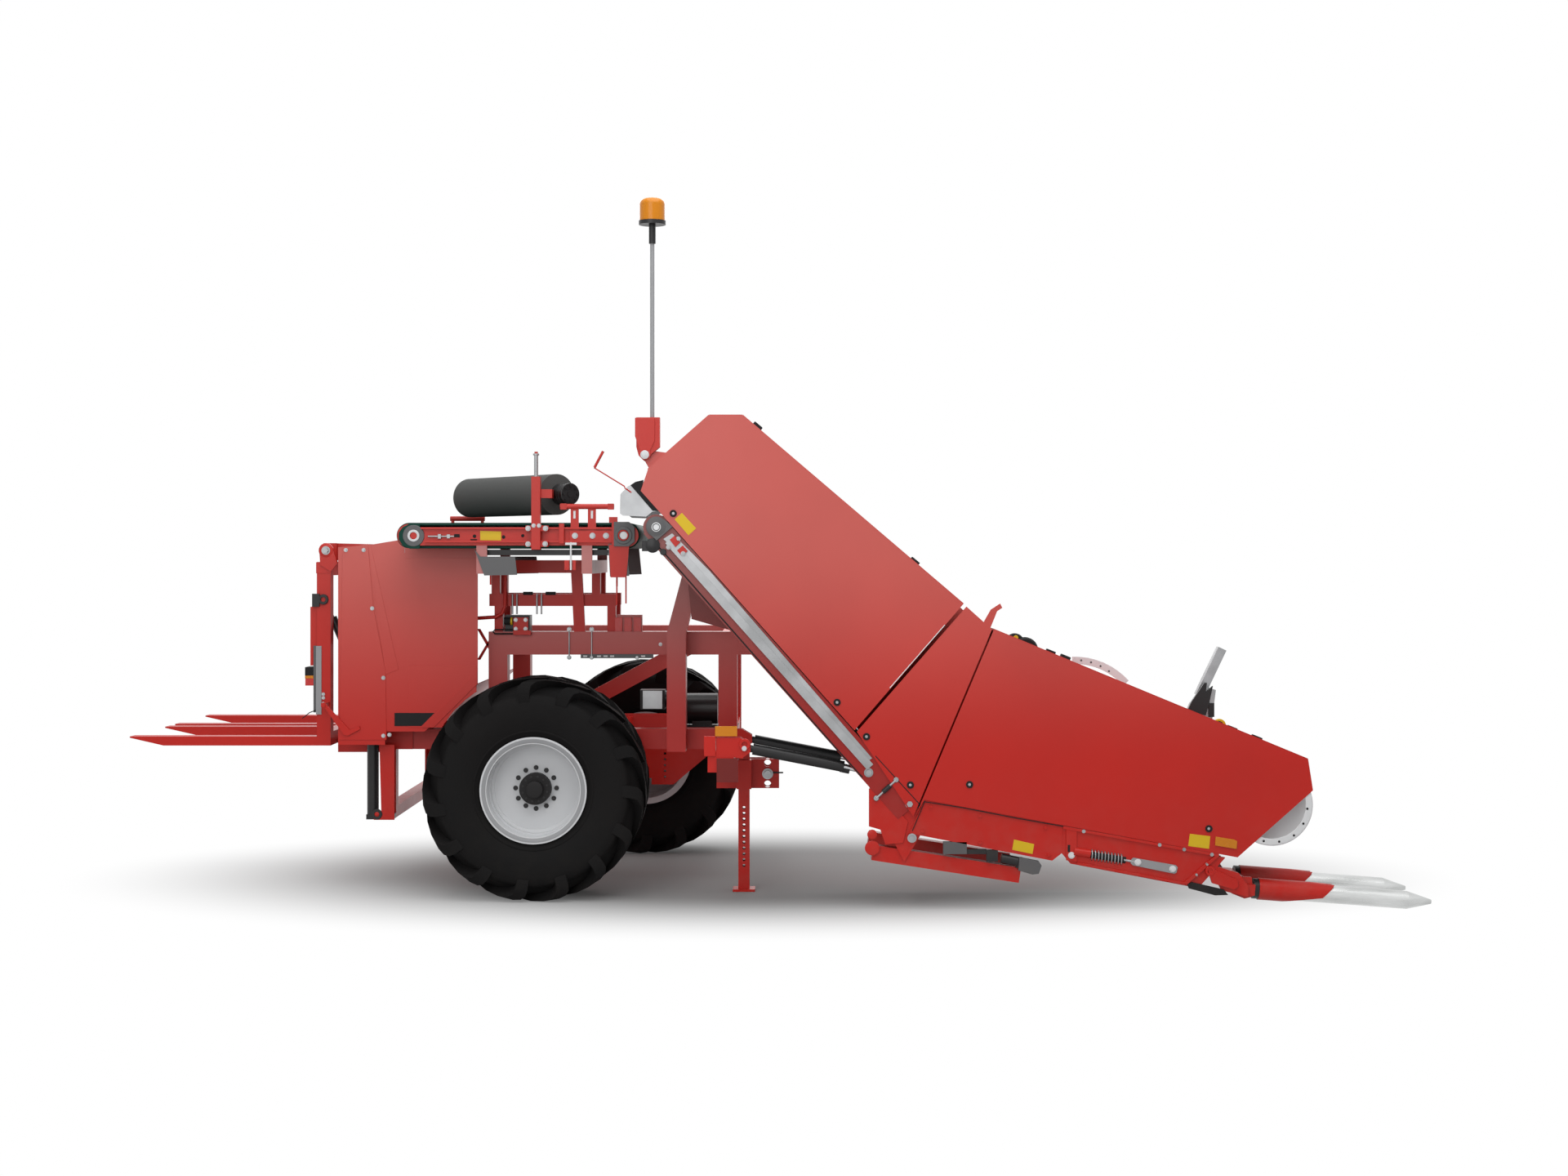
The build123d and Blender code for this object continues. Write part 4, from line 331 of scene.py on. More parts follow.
def build_weathering_and_painted_light():
    group, given, made = group_tree(
        "weathering_and_painted_light",
        (
            ("Colour", "NodeSocketColor", (0.5, 0.5, 0.5, 1)),
            ("Painted Light Colour", "NodeSocketColor", (0.5, 0.5, 0.5, 1)),
            ("Painted Light Low", "NodeSocketFloat", 0.0),
            ("Painted Light High", "NodeSocketFloat", 1.0),
            ("Dust", "NodeSocketFloat", 0.1),
            ("Roughness", "NodeSocketFloat", 0.4),
            ("Grain Scale", "NodeSocketFloat", 300.0),
        ),
    )
    place = group.nodes.new("ShaderNodeTexCoord").outputs["Object"]
    split = group.nodes.new("ShaderNodeSeparateXYZ")
    group.links.new(place, split.inputs[0])
    height = split.outputs["Z"]
    patches = noise_node(group, place, PATCH_SCALE, detail=3)
    specks = noise_node(group, place, SPECK_SCALE, detail=5)
    grain = noise_node(group, place, given.outputs["Grain Scale"], detail=2)
    # Paint turns to its second colour with height: a painted highlight from the light above.
    painted_light_share = range_node(group, height, given.outputs["Painted Light Low"], given.outputs["Painted Light High"], smooth=True)
    lit_colour = mix_node(group, painted_light_share, given.outputs["Colour"], given.outputs["Painted Light Colour"])
    shaded = mix_node(group, range_node(group, patches, *PATCHES), lit_colour, GRIME_COLOUR)
    low_down = range_node(group, height, DUST_TOP, 0.0)
    speckled = math_node(group, "MULTIPLY", low_down, range_node(group, specks, *SPECKS))
    dust = math_node(group, "MULTIPLY", speckled, given.outputs["Dust"])
    rougher = math_node(group, "MULTIPLY_ADD", specks, SPECK_ROUGHNESS, given.outputs["Roughness"])
    dusty = mix_node(group, dust, shaded, DUST_COLOUR)
    link_all(group, zip((dusty, rougher, grain), made.inputs))
    return group


weathering_and_painted_light = build_weathering_and_painted_light()
print("group:", weathering_and_painted_light.name, len(weathering_and_painted_light.nodes), "nodes")

# %% [markdown]
# ## Brushed steel
# Rolled and turned steel shows fine streaks along one direction. Noise that is stretched along that
# direction gives them, and the same streaks make the surface a little rougher and bump it.

# %% Brushed steel
STREAKS = (0.35, 0.68)
STREAK_ROUGHNESS = 0.15


def build_brushed():
    group, given, made = group_tree(
        "brushed",
        (
            ("Light", "NodeSocketColor", (0.7, 0.7, 0.7, 1)),
            ("Dark", "NodeSocketColor", (0.45, 0.45, 0.45, 1)),
            ("Stretch", "NodeSocketVector", (6.0, 60.0, 60.0)),
            ("Roughness", "NodeSocketFloat", 0.25),
        ),
    )
    place = group.nodes.new("ShaderNodeTexCoord")
    stretch = group.nodes.new("ShaderNodeVectorMath")
    stretch.operation = "MULTIPLY"
    link_all(
        group, ((place.outputs["Object"], stretch.inputs[0]), (given.outputs["Stretch"], stretch.inputs[1]))
    )
    streaks = noise_node(group, stretch.outputs[0], 1.0, detail=4)
    share = range_node(group, streaks, *STREAKS)
    streaked = mix_node(group, share, given.outputs["Dark"], given.outputs["Light"])
    rougher = math_node(group, "MULTIPLY_ADD", streaks, STREAK_ROUGHNESS, given.outputs["Roughness"])
    link_all(group, zip((streaked, rougher, streaks), made.inputs))
    return group


brushed = build_brushed()
print("group:", brushed.name, len(brushed.nodes), "nodes")

# %% [markdown]
# ## Kinds of finish
# Every finish is one of the two groups in front of a Principled shader. Paint has a clear coat, so that
# its colour stays plain and the gloss on top makes the highlights. Steel is metallic with streaks, and
# rubber is rough with a strong grain.

# %% Kinds of finish
PAINT_COAT = 0.08
PAINT_GLOSS = 0.24
PAINT_GRAIN = 260.0
COAT_ROUGHNESS = 0.12
STEEL_METALLIC = 0.9
RUBBER_GLOSS = 0.13


def shaded_material(name, group, values, metallic=0.0, bump=0.05, coat=0.0, grain=0.001, gloss=0.5):
    """A Principled material fed by one of the groups."""
    material = bpy.data.materials.new(name)
    material.use_nodes = True
    tree = material.node_tree
    shader = tree.nodes["Principled BSDF"]
    shader.inputs["Metallic"].default_value = metallic
    shader.inputs["Specular IOR Level"].default_value = gloss
    shader.inputs["Coat Weight"].default_value = coat
    shader.inputs["Coat Roughness"].default_value = COAT_ROUGHNESS
    looks = tree.nodes.new("ShaderNodeGroup")
    looks.node_tree = group
    for label, value in values.items():
        looks.inputs[label].default_value = value
    bump_node = tree.nodes.new("ShaderNodeBump")
    bump_node.inputs["Strength"].default_value = bump
    bump_node.inputs["Distance"].default_value = grain
    link_all(
        tree,
        (
            (looks.outputs["Colour"], shader.inputs["Base Color"]),
            (looks.outputs["Roughness"], shader.inputs["Roughness"]),
            (looks.outputs["Height"], bump_node.inputs["Height"]),
            (bump_node.outputs["Normal"], shader.inputs["Normal"]),
        ),
    )
    return material


def paint(name, colour, lit_colour=None, low=0.0, high=1.0, dust=0.15, roughness=0.34, coat=PAINT_COAT):
    """Paint that turns to a second colour between two heights, a painted highlight from the light above."""
    values = {
        "Colour": colour,
        "Painted Light Colour": lit_colour or colour,
        "Painted Light Low": low,
        "Painted Light High": high,
        "Dust": dust,
        "Roughness": roughness,
        "Grain Scale": PAINT_GRAIN,
    }
    return shaded_material(name, weathering_and_painted_light, values, coat=coat, gloss=PAINT_GLOSS)


def steel(name, light, dark, roughness, stretch):
    values = {"Light": light, "Dark": dark, "Stretch": stretch, "Roughness": roughness}
    return shaded_material(name, brushed, values, metallic=STEEL_METALLIC, bump=0.08, grain=0.0006)


def rubber(name, colour, roughness, dust, scale, grain=0.002):
    values = {"Colour": colour, "Painted Light Colour": colour, "Dust": dust, "Roughness": roughness, "Grain Scale": scale}
    return shaded_material(name, weathering_and_painted_light, values, bump=0.3, grain=grain, gloss=RUBBER_GLOSS)


print("kinds of finish: paint, steel, rubber")

# %% [markdown]
# ## Paints
# Each red is given a second colour towards the top, a painted highlight for the light from above. The
# covers, rails and posts turn clearly paler, the elevator's beams turn duller, and the rest of the red
# hardly changes.

# %% Paints
RED = (0.51, 0.012, 0.006, 1)
RED_LIT_FROM_ABOVE = (0.55, 0.102, 0.086, 1)
finishes = {
    # Each paint's second colour and two heights give it a painted highlight towards the top.
    "red_paint": paint("red_paint", RED, (0.5, 0.03, 0.022, 1), 0.9, 2.4),
    "cover_paint": paint("cover_paint", RED, RED_LIT_FROM_ABOVE, 0.75, 2.15, dust=0.05, roughness=0.3),
    "frame_paint": paint("frame_paint", (0.51, 0.03, 0.025, 1), (0.46, 0.17, 0.16, 1), 0.9, 2.0),
    "beam_paint": paint("beam_paint", (0.33, 0.012, 0.009, 1), (0.24, 0.075, 0.07, 1), 0.9, 2.1),
    "deep_red": paint("deep_red", (0.15, 0.008, 0.006, 1)),
    "rim_grey": paint("rim_grey", (0.63, 0.64, 0.655, 1), dust=0.1, roughness=0.32, coat=0.2),
    "rim_shade": paint("rim_shade", (0.3, 0.305, 0.315, 1), dust=0.1, roughness=0.36, coat=0.1),
    "white_drum": paint("white_drum", (0.72, 0.73, 0.74, 1), dust=0.05, roughness=0.3, coat=0.1),
    "grey_metal": paint("grey_metal", (0.1, 0.1, 0.103, 1), dust=0.08, roughness=0.36, coat=0.1),
    "black_metal": paint("black_metal", (0.014, 0.014, 0.015, 1), dust=0.08, roughness=0.34, coat=0.1),
    "hub_black": paint("hub_black", (0.006, 0.006, 0.0065, 1), dust=0.05, roughness=0.5, coat=0.0),
    "sign_yellow": paint("sign_yellow", (0.68, 0.46, 0.012, 1), dust=0.05, roughness=0.3, coat=0.03),
}
print("paints:", len(finishes))

# %% [markdown]
# ## Steel, rubber and lenses
# The rods are chromed and nearly smooth, the cones are polished along their length, and bolts are duller.
# The lenses are moulded in clear coloured plastic. Paint with a thick coat stands in for them, because
# what lies behind a lens doesn't show.

# %% Steel, rubber and lenses
finishes.update(
    {
        "steel": steel(
            "bright_steel", (0.4, 0.405, 0.415, 1), (0.27, 0.275, 0.28, 1), 0.34, (5.0, 30.0, 5.0)
        ),
        "chrome": steel("chromed_rod", (0.6, 0.61, 0.62, 1), (0.5, 0.51, 0.52, 1), 0.12, (3.0, 3.0, 3.0)),
        "polished": steel(
            "polished_cone", (0.68, 0.69, 0.685, 1), (0.5, 0.51, 0.505, 1), 0.2, (3.0, 20.0, 20.0)
        ),
        "tyre_black": rubber("tyre_rubber", (0.0055, 0.0055, 0.0057, 1), 0.7, 0.02, 60.0),
        "belt_rubber": rubber("belt_rubber", (0.004, 0.045, 0.032, 1), 0.5, 0.1, 220.0, 0.001),
        "roller_foam": rubber("roller_foam", (0.1, 0.103, 0.101, 1), 0.9, 0.05, 330.0, 0.006),
        "black_rubber": rubber("black_rubber", (0.016, 0.016, 0.017, 1), 0.6, 0.05, 200.0, 0.001),
        "amber_lens": paint("amber_lens", (0.6, 0.2, 0.001, 1), dust=0.0, roughness=0.2, coat=0.15),
        "lamp_red": paint("lamp_red", (0.55, 0.012, 0.008, 1), dust=0.0, roughness=0.14, coat=0.6),
    }
)
print("finishes:", len(finishes))

# %% [markdown]
# ## Finishes of the solids
# Each solid takes the finish of its own slot, unless it is named here with another one of the same slot's
# kind.

# %% Finishes of the solids
OTHER_FINISHES = {
    "cover_paint": ("elevator_covers", "front_covers", "discharge_walls"),
    "beam_paint": ("elevator_beams",),
    "frame_paint": ("frame_rails", "frame_posts", "bent_post", "conveyor_bearers"),
    "hub_black": ("near_hub", "far_hub"),
    "rim_shade": ("beacon_pole",),
    "polished": ("near_cone", "far_cone"),
    "chrome": ("lift_rods", "tilt_rod", "mast_rod"),
}
finish_of = {row["node"]: row["material_slot"] for row in frame["record"]["subparts"]}
for finish, names in OTHER_FINISHES.items():
    finish_of.update(dict.fromkeys(names, finish))
for name, node in nodes.items():
    node.data.materials.clear()
    node.data.materials.append(finishes[finish_of[name]])
print("solids with a finish:", len(nodes))

# %% [markdown]
# ## Blocks, plates and turned shapes
# A fitting is seldom one primitive. These helpers add blocks, rods, turned shapes and cut plates to one
# mesh. All but the block are rings of corners that are joined by faces, one ring to the next, as a lathe
# or a press makes them from one section.

# %% Blocks, plates and turned shapes
def turn_steps(count):
    """The angles of even steps round a full turn."""
    return [2 * pi * step / count for step in range(count)]


def join_rings(bm, rings):
    """Faces from each ring of corners to the next."""
    for low, high in zip(rings, rings[1:]):
        for step in range(len(low)):
            after = (step + 1) % len(low)
            bm.faces.new((low[step], low[after], high[after], high[step]))


def close_ends(bm, rings):
    bm.faces.new(list(reversed(rings[0])))
    bm.faces.new(rings[-1])


def add_block(bm, centre, size, turn=0.0):
    """A block; turn is in degrees about Y, counter-clockwise as the camera sees it."""
    made = bmesh.ops.create_cube(bm, size=1)["verts"]
    lean = Matrix.Rotation(-radians(turn), 4, "Y")
    place = Matrix.Translation(centre) @ lean @ Matrix.Diagonal((*size, 1))
    bmesh.ops.transform(bm, matrix=place, verts=made)


def add_turned(bm, start, end, profile, segments=24):
    """A turned shape; profile lists (share of the way from start to end, radius)."""
    start, end = Vector(start), Vector(end)
    way = end - start
    turn = way.to_track_quat("Z", "Y").to_matrix()
    rings = []
    for share, radius in profile:
        middle = start + way * share
        rings.append([
            bm.verts.new(middle + turn @ Vector((cos(angle) * radius, sin(angle) * radius, 0)))
            for angle in turn_steps(segments)
        ])
    join_rings(bm, rings)
    close_ends(bm, rings)


def add_rod(bm, start, end, radius, segments=20):
    add_turned(bm, start, end, ((0, radius), (1, radius)), segments)


def add_lathe(bm, centre, profile, outward, segments=72):
    """A closed section of (radius, offset along Y) points, turned round the Y axis."""
    rings = []
    for radius, offset in profile:
        rings.append([
            bm.verts.new(centre + Vector((cos(angle) * radius, outward * offset, sin(angle) * radius)))
            for angle in turn_steps(segments)
        ])
    join_rings(bm, [*rings, rings[0]])


def add_plate(bm, outline, near_y, far_y):
    """A plate cut to an outline of (x, z) places, between two depths."""
    near = [bm.verts.new((x, near_y, z)) for x, z in outline]
    far = [bm.verts.new((x, far_y, z)) for x, z in outline]
    join_rings(bm, [far, near])
    close_ends(bm, [far, near])


def add_path(bm, points, radius, segments=12):
    """A bent round bar along points; each ring keeps the last one's side, so that the bar doesn't twist."""
    points = [Vector(point) for point in points]
    rings = []
    side = None
    for place, point in enumerate(points):
        before = points[max(place - 1, 0)]
        after = points[min(place + 1, len(points) - 1)]
        way = (after - before).normalized()
        if side is None:
            side = way.orthogonal().normalized()
        else:
            side = (side - way * side.dot(way)).normalized()
        up = way.cross(side)
        rings.append([
            bm.verts.new(point + (side * cos(angle) + up * sin(angle)) * radius)
            for angle in turn_steps(segments)
        ])
    join_rings(bm, rings)
    close_ends(bm, rings)


print("shapes: block, turned, rod, lathe, plate, path")

# %% [markdown]
# ## From mesh to piece
# `fitting` bevels the edges, gives the mesh its finish and sets it on its body. The bevel is what makes
# folded sheet and machined bar catch the light.

# %% From mesh to piece
BEVEL = 0.0015
BEVEL_ANGLE = radians(40)
SMOOTH_ANGLE = radians(35)


def outward_mesh(bm, name):
    """Turns all faces outwards and ends the work on a mesh."""
    bmesh.ops.recalc_face_normals(bm, faces=bm.faces)
    return mesh_from(bm, name)


def set_on(piece, body, finish):
    """Gives a finished object its material and its body."""
    piece.data.materials.clear()
    piece.data.materials.append(finishes[finish])
    piece.data.shade_smooth()
    piece.data.set_sharp_from_angle(angle=SMOOTH_ANGLE)
    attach(piece, body)
    return piece


def fitting(name, bm, body, finish, bevel=BEVEL):
    """Turns a mesh under construction into a piece of the machine."""
    piece = new_object(name, outward_mesh(bm, name))
    if bevel:
        rounded = piece.modifiers.new("rounded", "BEVEL")
        rounded.width = bevel
        rounded.segments = 2
        rounded.limit_method = "ANGLE"
        rounded.angle_limit = BEVEL_ANGLE
    return set_on(piece, body, finish)


# %% [markdown]
# ## Trees of Geometry Nodes
# Bolts and tread bars repeat by the dozen. A loop could copy their meshes, but a tree keeps one shape and
# a few named sizes. Both trees end alike: a copy at every point, made real and given its material. The
# result is made a plain mesh at once, because only real geometry reaches the exported model.

# %% What the trees share
def tree_with(name, inputs):
    """A geometry tree with its inputs; gives back the tree, its two ends and the inputs' identifiers."""
    tree = bpy.data.node_groups.new(name, "GeometryNodeTree")
    tree.interface.new_socket(name="Geometry", in_out="INPUT", socket_type="NodeSocketGeometry")
    identifiers = {}
    for label, kind in inputs:
        socket = tree.interface.new_socket(name=label, in_out="INPUT", socket_type=kind)
        identifiers[label] = socket.identifier
    tree.interface.new_socket(name="Geometry", in_out="OUTPUT", socket_type="NodeSocketGeometry")
    return tree, tree.nodes.new("NodeGroupInput"), tree.nodes.new("NodeGroupOutput"), identifiers


def end_tree(tree, given, made, points, copied, rotation):
    """Puts a copy at every point, makes the copies real and gives them their material."""
    place = tree.nodes.new("GeometryNodeInstanceOnPoints")
    real = tree.nodes.new("GeometryNodeRealizeInstances")
    coat = tree.nodes.new("GeometryNodeSetMaterial")
    link_all(
        tree,
        (
            (points, place.inputs["Points"]),
            (copied, place.inputs["Instance"]),
            (rotation, place.inputs["Rotation"]),
            (place.outputs[0], real.inputs[0]),
            (real.outputs[0], coat.inputs["Geometry"]),
            (given.outputs["Finish"], coat.inputs["Material"]),
            (coat.outputs[0], made.inputs[0]),
        ),
    )


def run_tree(name, carrier, tree, identifiers, values):
    """Runs a tree on a carrier mesh and gives back its result as a plain mesh."""
    holder = new_object(name + "_maker", carrier)
    made_by = holder.modifiers.new("maker", "NODES")
    made_by.node_group = tree
    for label, value in values.items():
        made_by[identifiers[label]] = value
    bpy.context.view_layer.update()
    evaluated = holder.evaluated_get(bpy.context.evaluated_depsgraph_get())
    mesh = bpy.data.meshes.new_from_object(evaluated)
    mesh.name = name
    bpy.data.objects.remove(holder)
    return mesh


print("helpers for trees: tree_with, end_tree, run_tree")

# %% [markdown]
# ## Bolts
# A bolt shows as a hexagon head on a round washer. The tree puts one at each point of a mesh and turns it
# to the point's own direction, which the mesh carries as the attribute `facing`.

# %% Bolts
HEAD_SIDES = 6
WASHER_SIDES = 20
HEAD_HEIGHT_SHARE = 0.6
WASHER_RADIUS_SHARE = 0.85
WASHER_HEIGHT_SHARE = 0.12
TO_CAMERA = (0, -1, 0)
FROM_CAMERA = (0, 1, 0)


def build_bolts():
    tree, given, made, identifiers = tree_with(
        "bolts",
        (
            ("Head Radius", "NodeSocketFloat"),
            ("Head Height", "NodeSocketFloat"),
            ("Washer Radius", "NodeSocketFloat"),
            ("Washer Height", "NodeSocketFloat"),
            ("Finish", "NodeSocketMaterial"),
        ),
    )
    facing = tree.nodes.new("GeometryNodeInputNamedAttribute")
    facing.data_type = "FLOAT_VECTOR"
    facing.inputs["Name"].default_value = "facing"
    align = tree.nodes.new("FunctionNodeAlignRotationToVector")
    align.axis = "Z"
    tree.links.new(facing.outputs[0], align.inputs["Vector"])
    join = tree.nodes.new("GeometryNodeJoinGeometry")
    for part, sides in (("Head", HEAD_SIDES), ("Washer", WASHER_SIDES)):
        height = given.outputs[part + " Height"]
        solid = tree.nodes.new("GeometryNodeMeshCylinder")
        solid.inputs["Vertices"].default_value = sides
        shift = tree.nodes.new("ShaderNodeCombineXYZ")
        lift = tree.nodes.new("GeometryNodeTransform")
        link_all(
            tree,
            (
                (given.outputs[part + " Radius"], solid.inputs["Radius"]),
                (height, solid.inputs["Depth"]),
                (math_node(tree, "MULTIPLY", height, 0.5), shift.inputs["Z"]),
                (shift.outputs[0], lift.inputs["Translation"]),
                (solid.outputs["Mesh"], lift.inputs["Geometry"]),
                (lift.outputs[0], join.inputs[0]),
            ),
        )
    end_tree(tree, given, made, given.outputs["Geometry"], join.outputs[0], align.outputs[0])
    return tree, identifiers


bolt_tree, bolt_inputs = build_bolts()


def bolts(name, places, body, across, washer=None, finish="steel"):
    """Bolts at (place, direction) pairs; across is the width over the flats."""
    carrier = bpy.data.meshes.new(name + "_points")
    carrier.from_pydata([tuple(place) for place, _ in places], [], [])
    facing = carrier.attributes.new("facing", "FLOAT_VECTOR", "POINT")
    for point, (_, direction) in zip(facing.data, places):
        point.vector = direction
    values = {
        "Head Radius": across / 2 / cos(pi / HEAD_SIDES),
        "Head Height": across * HEAD_HEIGHT_SHARE,
        "Washer Radius": washer or across * WASHER_RADIUS_SHARE,
        "Washer Height": across * WASHER_HEIGHT_SHARE,
        "Finish": finishes[finish],
    }
    mesh = run_tree(name, carrier, bolt_tree, bolt_inputs, values)
    return set_on(new_object(name, mesh), body, finish)


print("bolt tree:", len(bolt_tree.nodes), "nodes")

# %% [markdown]
# ## Copies round a wheel
# The tread bars stand in rings round each shoulder of a tyre. This tree copies one piece round the Y
# axis, as many times as asked and from a chosen phase.

# %% Copies round a wheel
def build_ring():
    tree, given, made, identifiers = tree_with(
        "ring",
        (
            ("Piece", "NodeSocketObject"),
            ("Count", "NodeSocketInt"),
            ("Phase", "NodeSocketFloat"),
            ("Centre", "NodeSocketVector"),
            ("Finish", "NodeSocketMaterial"),
        ),
    )
    points = tree.nodes.new("GeometryNodePoints")
    order = tree.nodes.new("GeometryNodeInputIndex")
    turn = tree.nodes.new("ShaderNodeCombineXYZ")
    source = tree.nodes.new("GeometryNodeObjectInfo")
    count = given.outputs["Count"]
    spaced = math_node(tree, "ADD", order.outputs[0], given.outputs["Phase"])
    angle = math_node(tree, "MULTIPLY", spaced, math_node(tree, "DIVIDE", 2 * pi, count))
    link_all(
        tree,
        (
            (count, points.inputs["Count"]),
            (given.outputs["Centre"], points.inputs["Position"]),
            (angle, turn.inputs["Y"]),
            (given.outputs["Piece"], source.inputs["Object"]),
        ),
    )
    end_tree(tree, given, made, points.outputs[0], source.outputs["Geometry"], turn.outputs[0])
    return tree, identifiers


ring_tree, ring_inputs = build_ring()


def ring_mesh(name, bm, count, phase, centre, finish):
    """The mesh of a piece that is copied round a centre; its own place is round the Y axis."""
    one = new_object(name + "_one", outward_mesh(bm, name + "_one"))
    carrier = bpy.data.meshes.new(name + "_carrier")
    values = {"Piece": one, "Count": count, "Phase": phase, "Centre": centre, "Finish": finishes[finish]}
    made = run_tree(name, carrier, ring_tree, ring_inputs, values)
    bpy.data.objects.remove(one)
    return made


print("ring tree:", len(ring_tree.nodes), "nodes")

# %% [markdown]
# ## Tyres
# A wide implement tyre has a smooth bulging sidewall and two rows of slanting bars that wrap over its
# shoulders. The casing is turned from a section that is mirrored for the other side. One bar is shaped
# along its spine, from the sidewall to just past the middle, and the ring tree repeats it. The
# casing and its bars replace the plain solid tyre.

# %% Tyres
CASING_SEGMENTS = 96
BARS = 15
BAR_WIDTH = 0.074
BAR_SWEEP = radians(32)
BAR_FLARE = 1.2
NEAR_PHASE = -0.24
FAR_PHASE = 0.45
SIDEWALL = (
    # radius, half width
    (0.296, 0.222),
    (0.306, 0.232),
    (0.318, 0.239),
    (0.332, 0.247),
    (0.335, 0.252),
    (0.341, 0.253),
    (0.345, 0.251),
    (0.39, 0.267),
    (0.44, 0.2725),
    (0.49, 0.2715),
    (0.53, 0.266),
    (0.543, 0.255),
    (0.552, 0.232),
    (0.57, 0.212),
    (0.592, 0.19),
    (0.606, 0.15),
    (0.6125, 0.08),
)
BAR_SPINE = (
    # buried radius and half width, worn radius and half width, share of the sweep, width share
    (0.51, 0.25, 0.508, 0.2702, 0.0, 0.86),
    (0.52, 0.25, 0.52, 0.2735, 0.0, 0.88),
    (0.525, 0.235, 0.565, 0.274, 0.01, 0.94),
    (0.54, 0.215, 0.6, 0.272, 0.04, 1.0),
    (0.555, 0.19, 0.622, 0.262, 0.12, 1.1),
    (0.565, 0.16, 0.6325, 0.244, 0.26, 1.2),
    (0.575, 0.12, 0.635, 0.205, 0.48, 1.2),
    (0.58, 0.07, 0.635, 0.12, 0.76, 1.1),
    (0.58, -0.02, 0.635, -0.02, 1.0, 0.9),
)


def tread_bar(side):
    """One slanting bar; side is -1 or 1. Its buried edges flare out, so that its flanks slope."""
    bm = bmesh.new()
    rings = []
    for deep, deep_half, worn, worn_half, sweep, width in BAR_SPINE:
        spread = BAR_WIDTH * width / 2 / worn
        root = (deep, deep_half, BAR_FLARE)
        crest = (worn, worn_half, 1)
        corners = []
        for (radius, half, flare), turn in ((root, -1), (crest, -1), (crest, 1), (root, 1)):
            angle = sweep * BAR_SWEEP + turn * flare * spread
            corners.append(bm.verts.new((sin(angle) * radius, side * half, cos(angle) * radius)))
        rings.append(corners)
    join_rings(bm, rings)
    close_ends(bm, rings)
    return bm


def make_tyre(side_name, phase):
    low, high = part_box(side_name + "_tyre")
    centre = (low + high) / 2
    section = [(radius, -half) for radius, half in SIDEWALL]
    section += [(radius, half) for radius, half in reversed(SIDEWALL)]
    casing = bmesh.new()
    add_lathe(casing, centre, section, 1, CASING_SEGMENTS)
    parts = [outward_mesh(casing, side_name + "_casing")]
    for row, side in enumerate((-1, 1)):
        name = f"{side_name}_bars_{row}"
        parts.append(ring_mesh(name, tread_bar(side), BARS, phase + row / 2, centre, "tyre_black"))
    bm = bmesh.new()
    for part in parts:
        bm.from_mesh(part)
    name = side_name + "_treaded_tyre"
    piece = set_on(new_object(name, mesh_from(bm, name)), side_name + "_wheel", "tyre_black")
    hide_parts(side_name + "_tyre")
    return piece


for side_name, phase in (("near", NEAR_PHASE), ("far", FAR_PHASE)):
    tyre = make_tyre(side_name, phase)
    print(tyre.name, len(tyre.data.polygons), "faces")

# %% [markdown]
# ## Wheels
# The rim's lip is turned bright, steps run round the barrel behind it, and twelve nuts hold the drilled
# disc to the black hub. A darker ring behind the lip is painted shade for the rim's recess. The hub cap
# has its own ring of small screws. The steps and rings are turned from sections, each a short list of
# (radius, offset from the wheel's middle).

# %% Wheels
LIP = ((0.2965, 0.2485), (0.298, 0.2405), (0.303, 0.2385), (0.3045, 0.2435), (0.3038, 0.2488))
STEPS = (
    ((0.276, 0.215), (0.276, 0.195), (0.291, 0.2), (0.291, 0.215)),
    ((0.268, 0.185), (0.268, 0.15), (0.291, 0.155), (0.291, 0.185)),
    ((0.258, 0.14), (0.258, 0.11), (0.291, 0.11), (0.291, 0.14)),
    ((0.238, 0.0965), (0.24, 0.103), (0.291, 0.112), (0.291, 0.0965)),
)
RIM_SHADE_RING = ((0.295, 0.2505), (0.294, 0.2512), (0.273, 0.2506), (0.272, 0.25), (0.272, 0.246), (0.295, 0.246))
CAP_RING = ((0, 0.0495), (0.7, 0.0495), (0.9, 0.046), (0.96, 0.038), (1, 0.03))
CAP_RING_BACK = 0.014
CAP_RING_FRONT = 0.004
DISC_OFFSET = 0.0985
SCREW_DEPTH = 0.034
STUDS = 12
FASTENERS = (
    # name, radius of the circle, width across flats, turn
    ("nuts", 0.118, 0.02, 0.0),
    ("screws", 0.072, 0.01, 0.3),
)
WHEEL_WASHER_SHARE = 0.7

for side_name, outward in (("near", -1), ("far", 1)):
    low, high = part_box(side_name + "_rim")
    centre = (low + high) / 2
    body = side_name + "_wheel"
    bm = bmesh.new()
    for section in (LIP, *STEPS):
        add_lathe(bm, centre, section, outward)
    fitting(side_name + "_rim_rings", bm, body, "rim_grey", bevel=0)
    # A darker ring standing just proud behind the lip: painted shade for the rim's recess.
    bm = bmesh.new()
    add_lathe(bm, centre, RIM_SHADE_RING, outward)
    fitting(side_name + "_rim_groove", bm, body, "rim_shade", bevel=0)
    hub_low, hub_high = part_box(side_name + "_hub")
    hub_end = hub_low.y if outward < 0 else hub_high.y
    faces = {"nuts": centre.y + outward * DISC_OFFSET, "screws": hub_end - outward * SCREW_DEPTH}
    for label, radius, across, turn in FASTENERS:
        places = []
        for even in turn_steps(STUDS):
            x = centre.x + cos(even + turn) * radius
            z = centre.z + sin(even + turn) * radius
            places.append(((x, faces[label], z), (0, outward, 0)))
        name = f"{side_name}_wheel_{label}"
        bolts(name, places, body, across, washer=across * WHEEL_WASHER_SHARE, finish="black_metal")
    bm = bmesh.new()
    back = (centre.x, hub_end - outward * CAP_RING_BACK, centre.z)
    front = (centre.x, hub_end + outward * CAP_RING_FRONT, centre.z)
    add_turned(bm, back, front, CAP_RING, 40)
    fitting(side_name + "_hub_cap_ring", bm, body, "hub_black", bevel=0)
    print(side_name, "wheel dressed, its hub ends at", round(hub_end, 3))

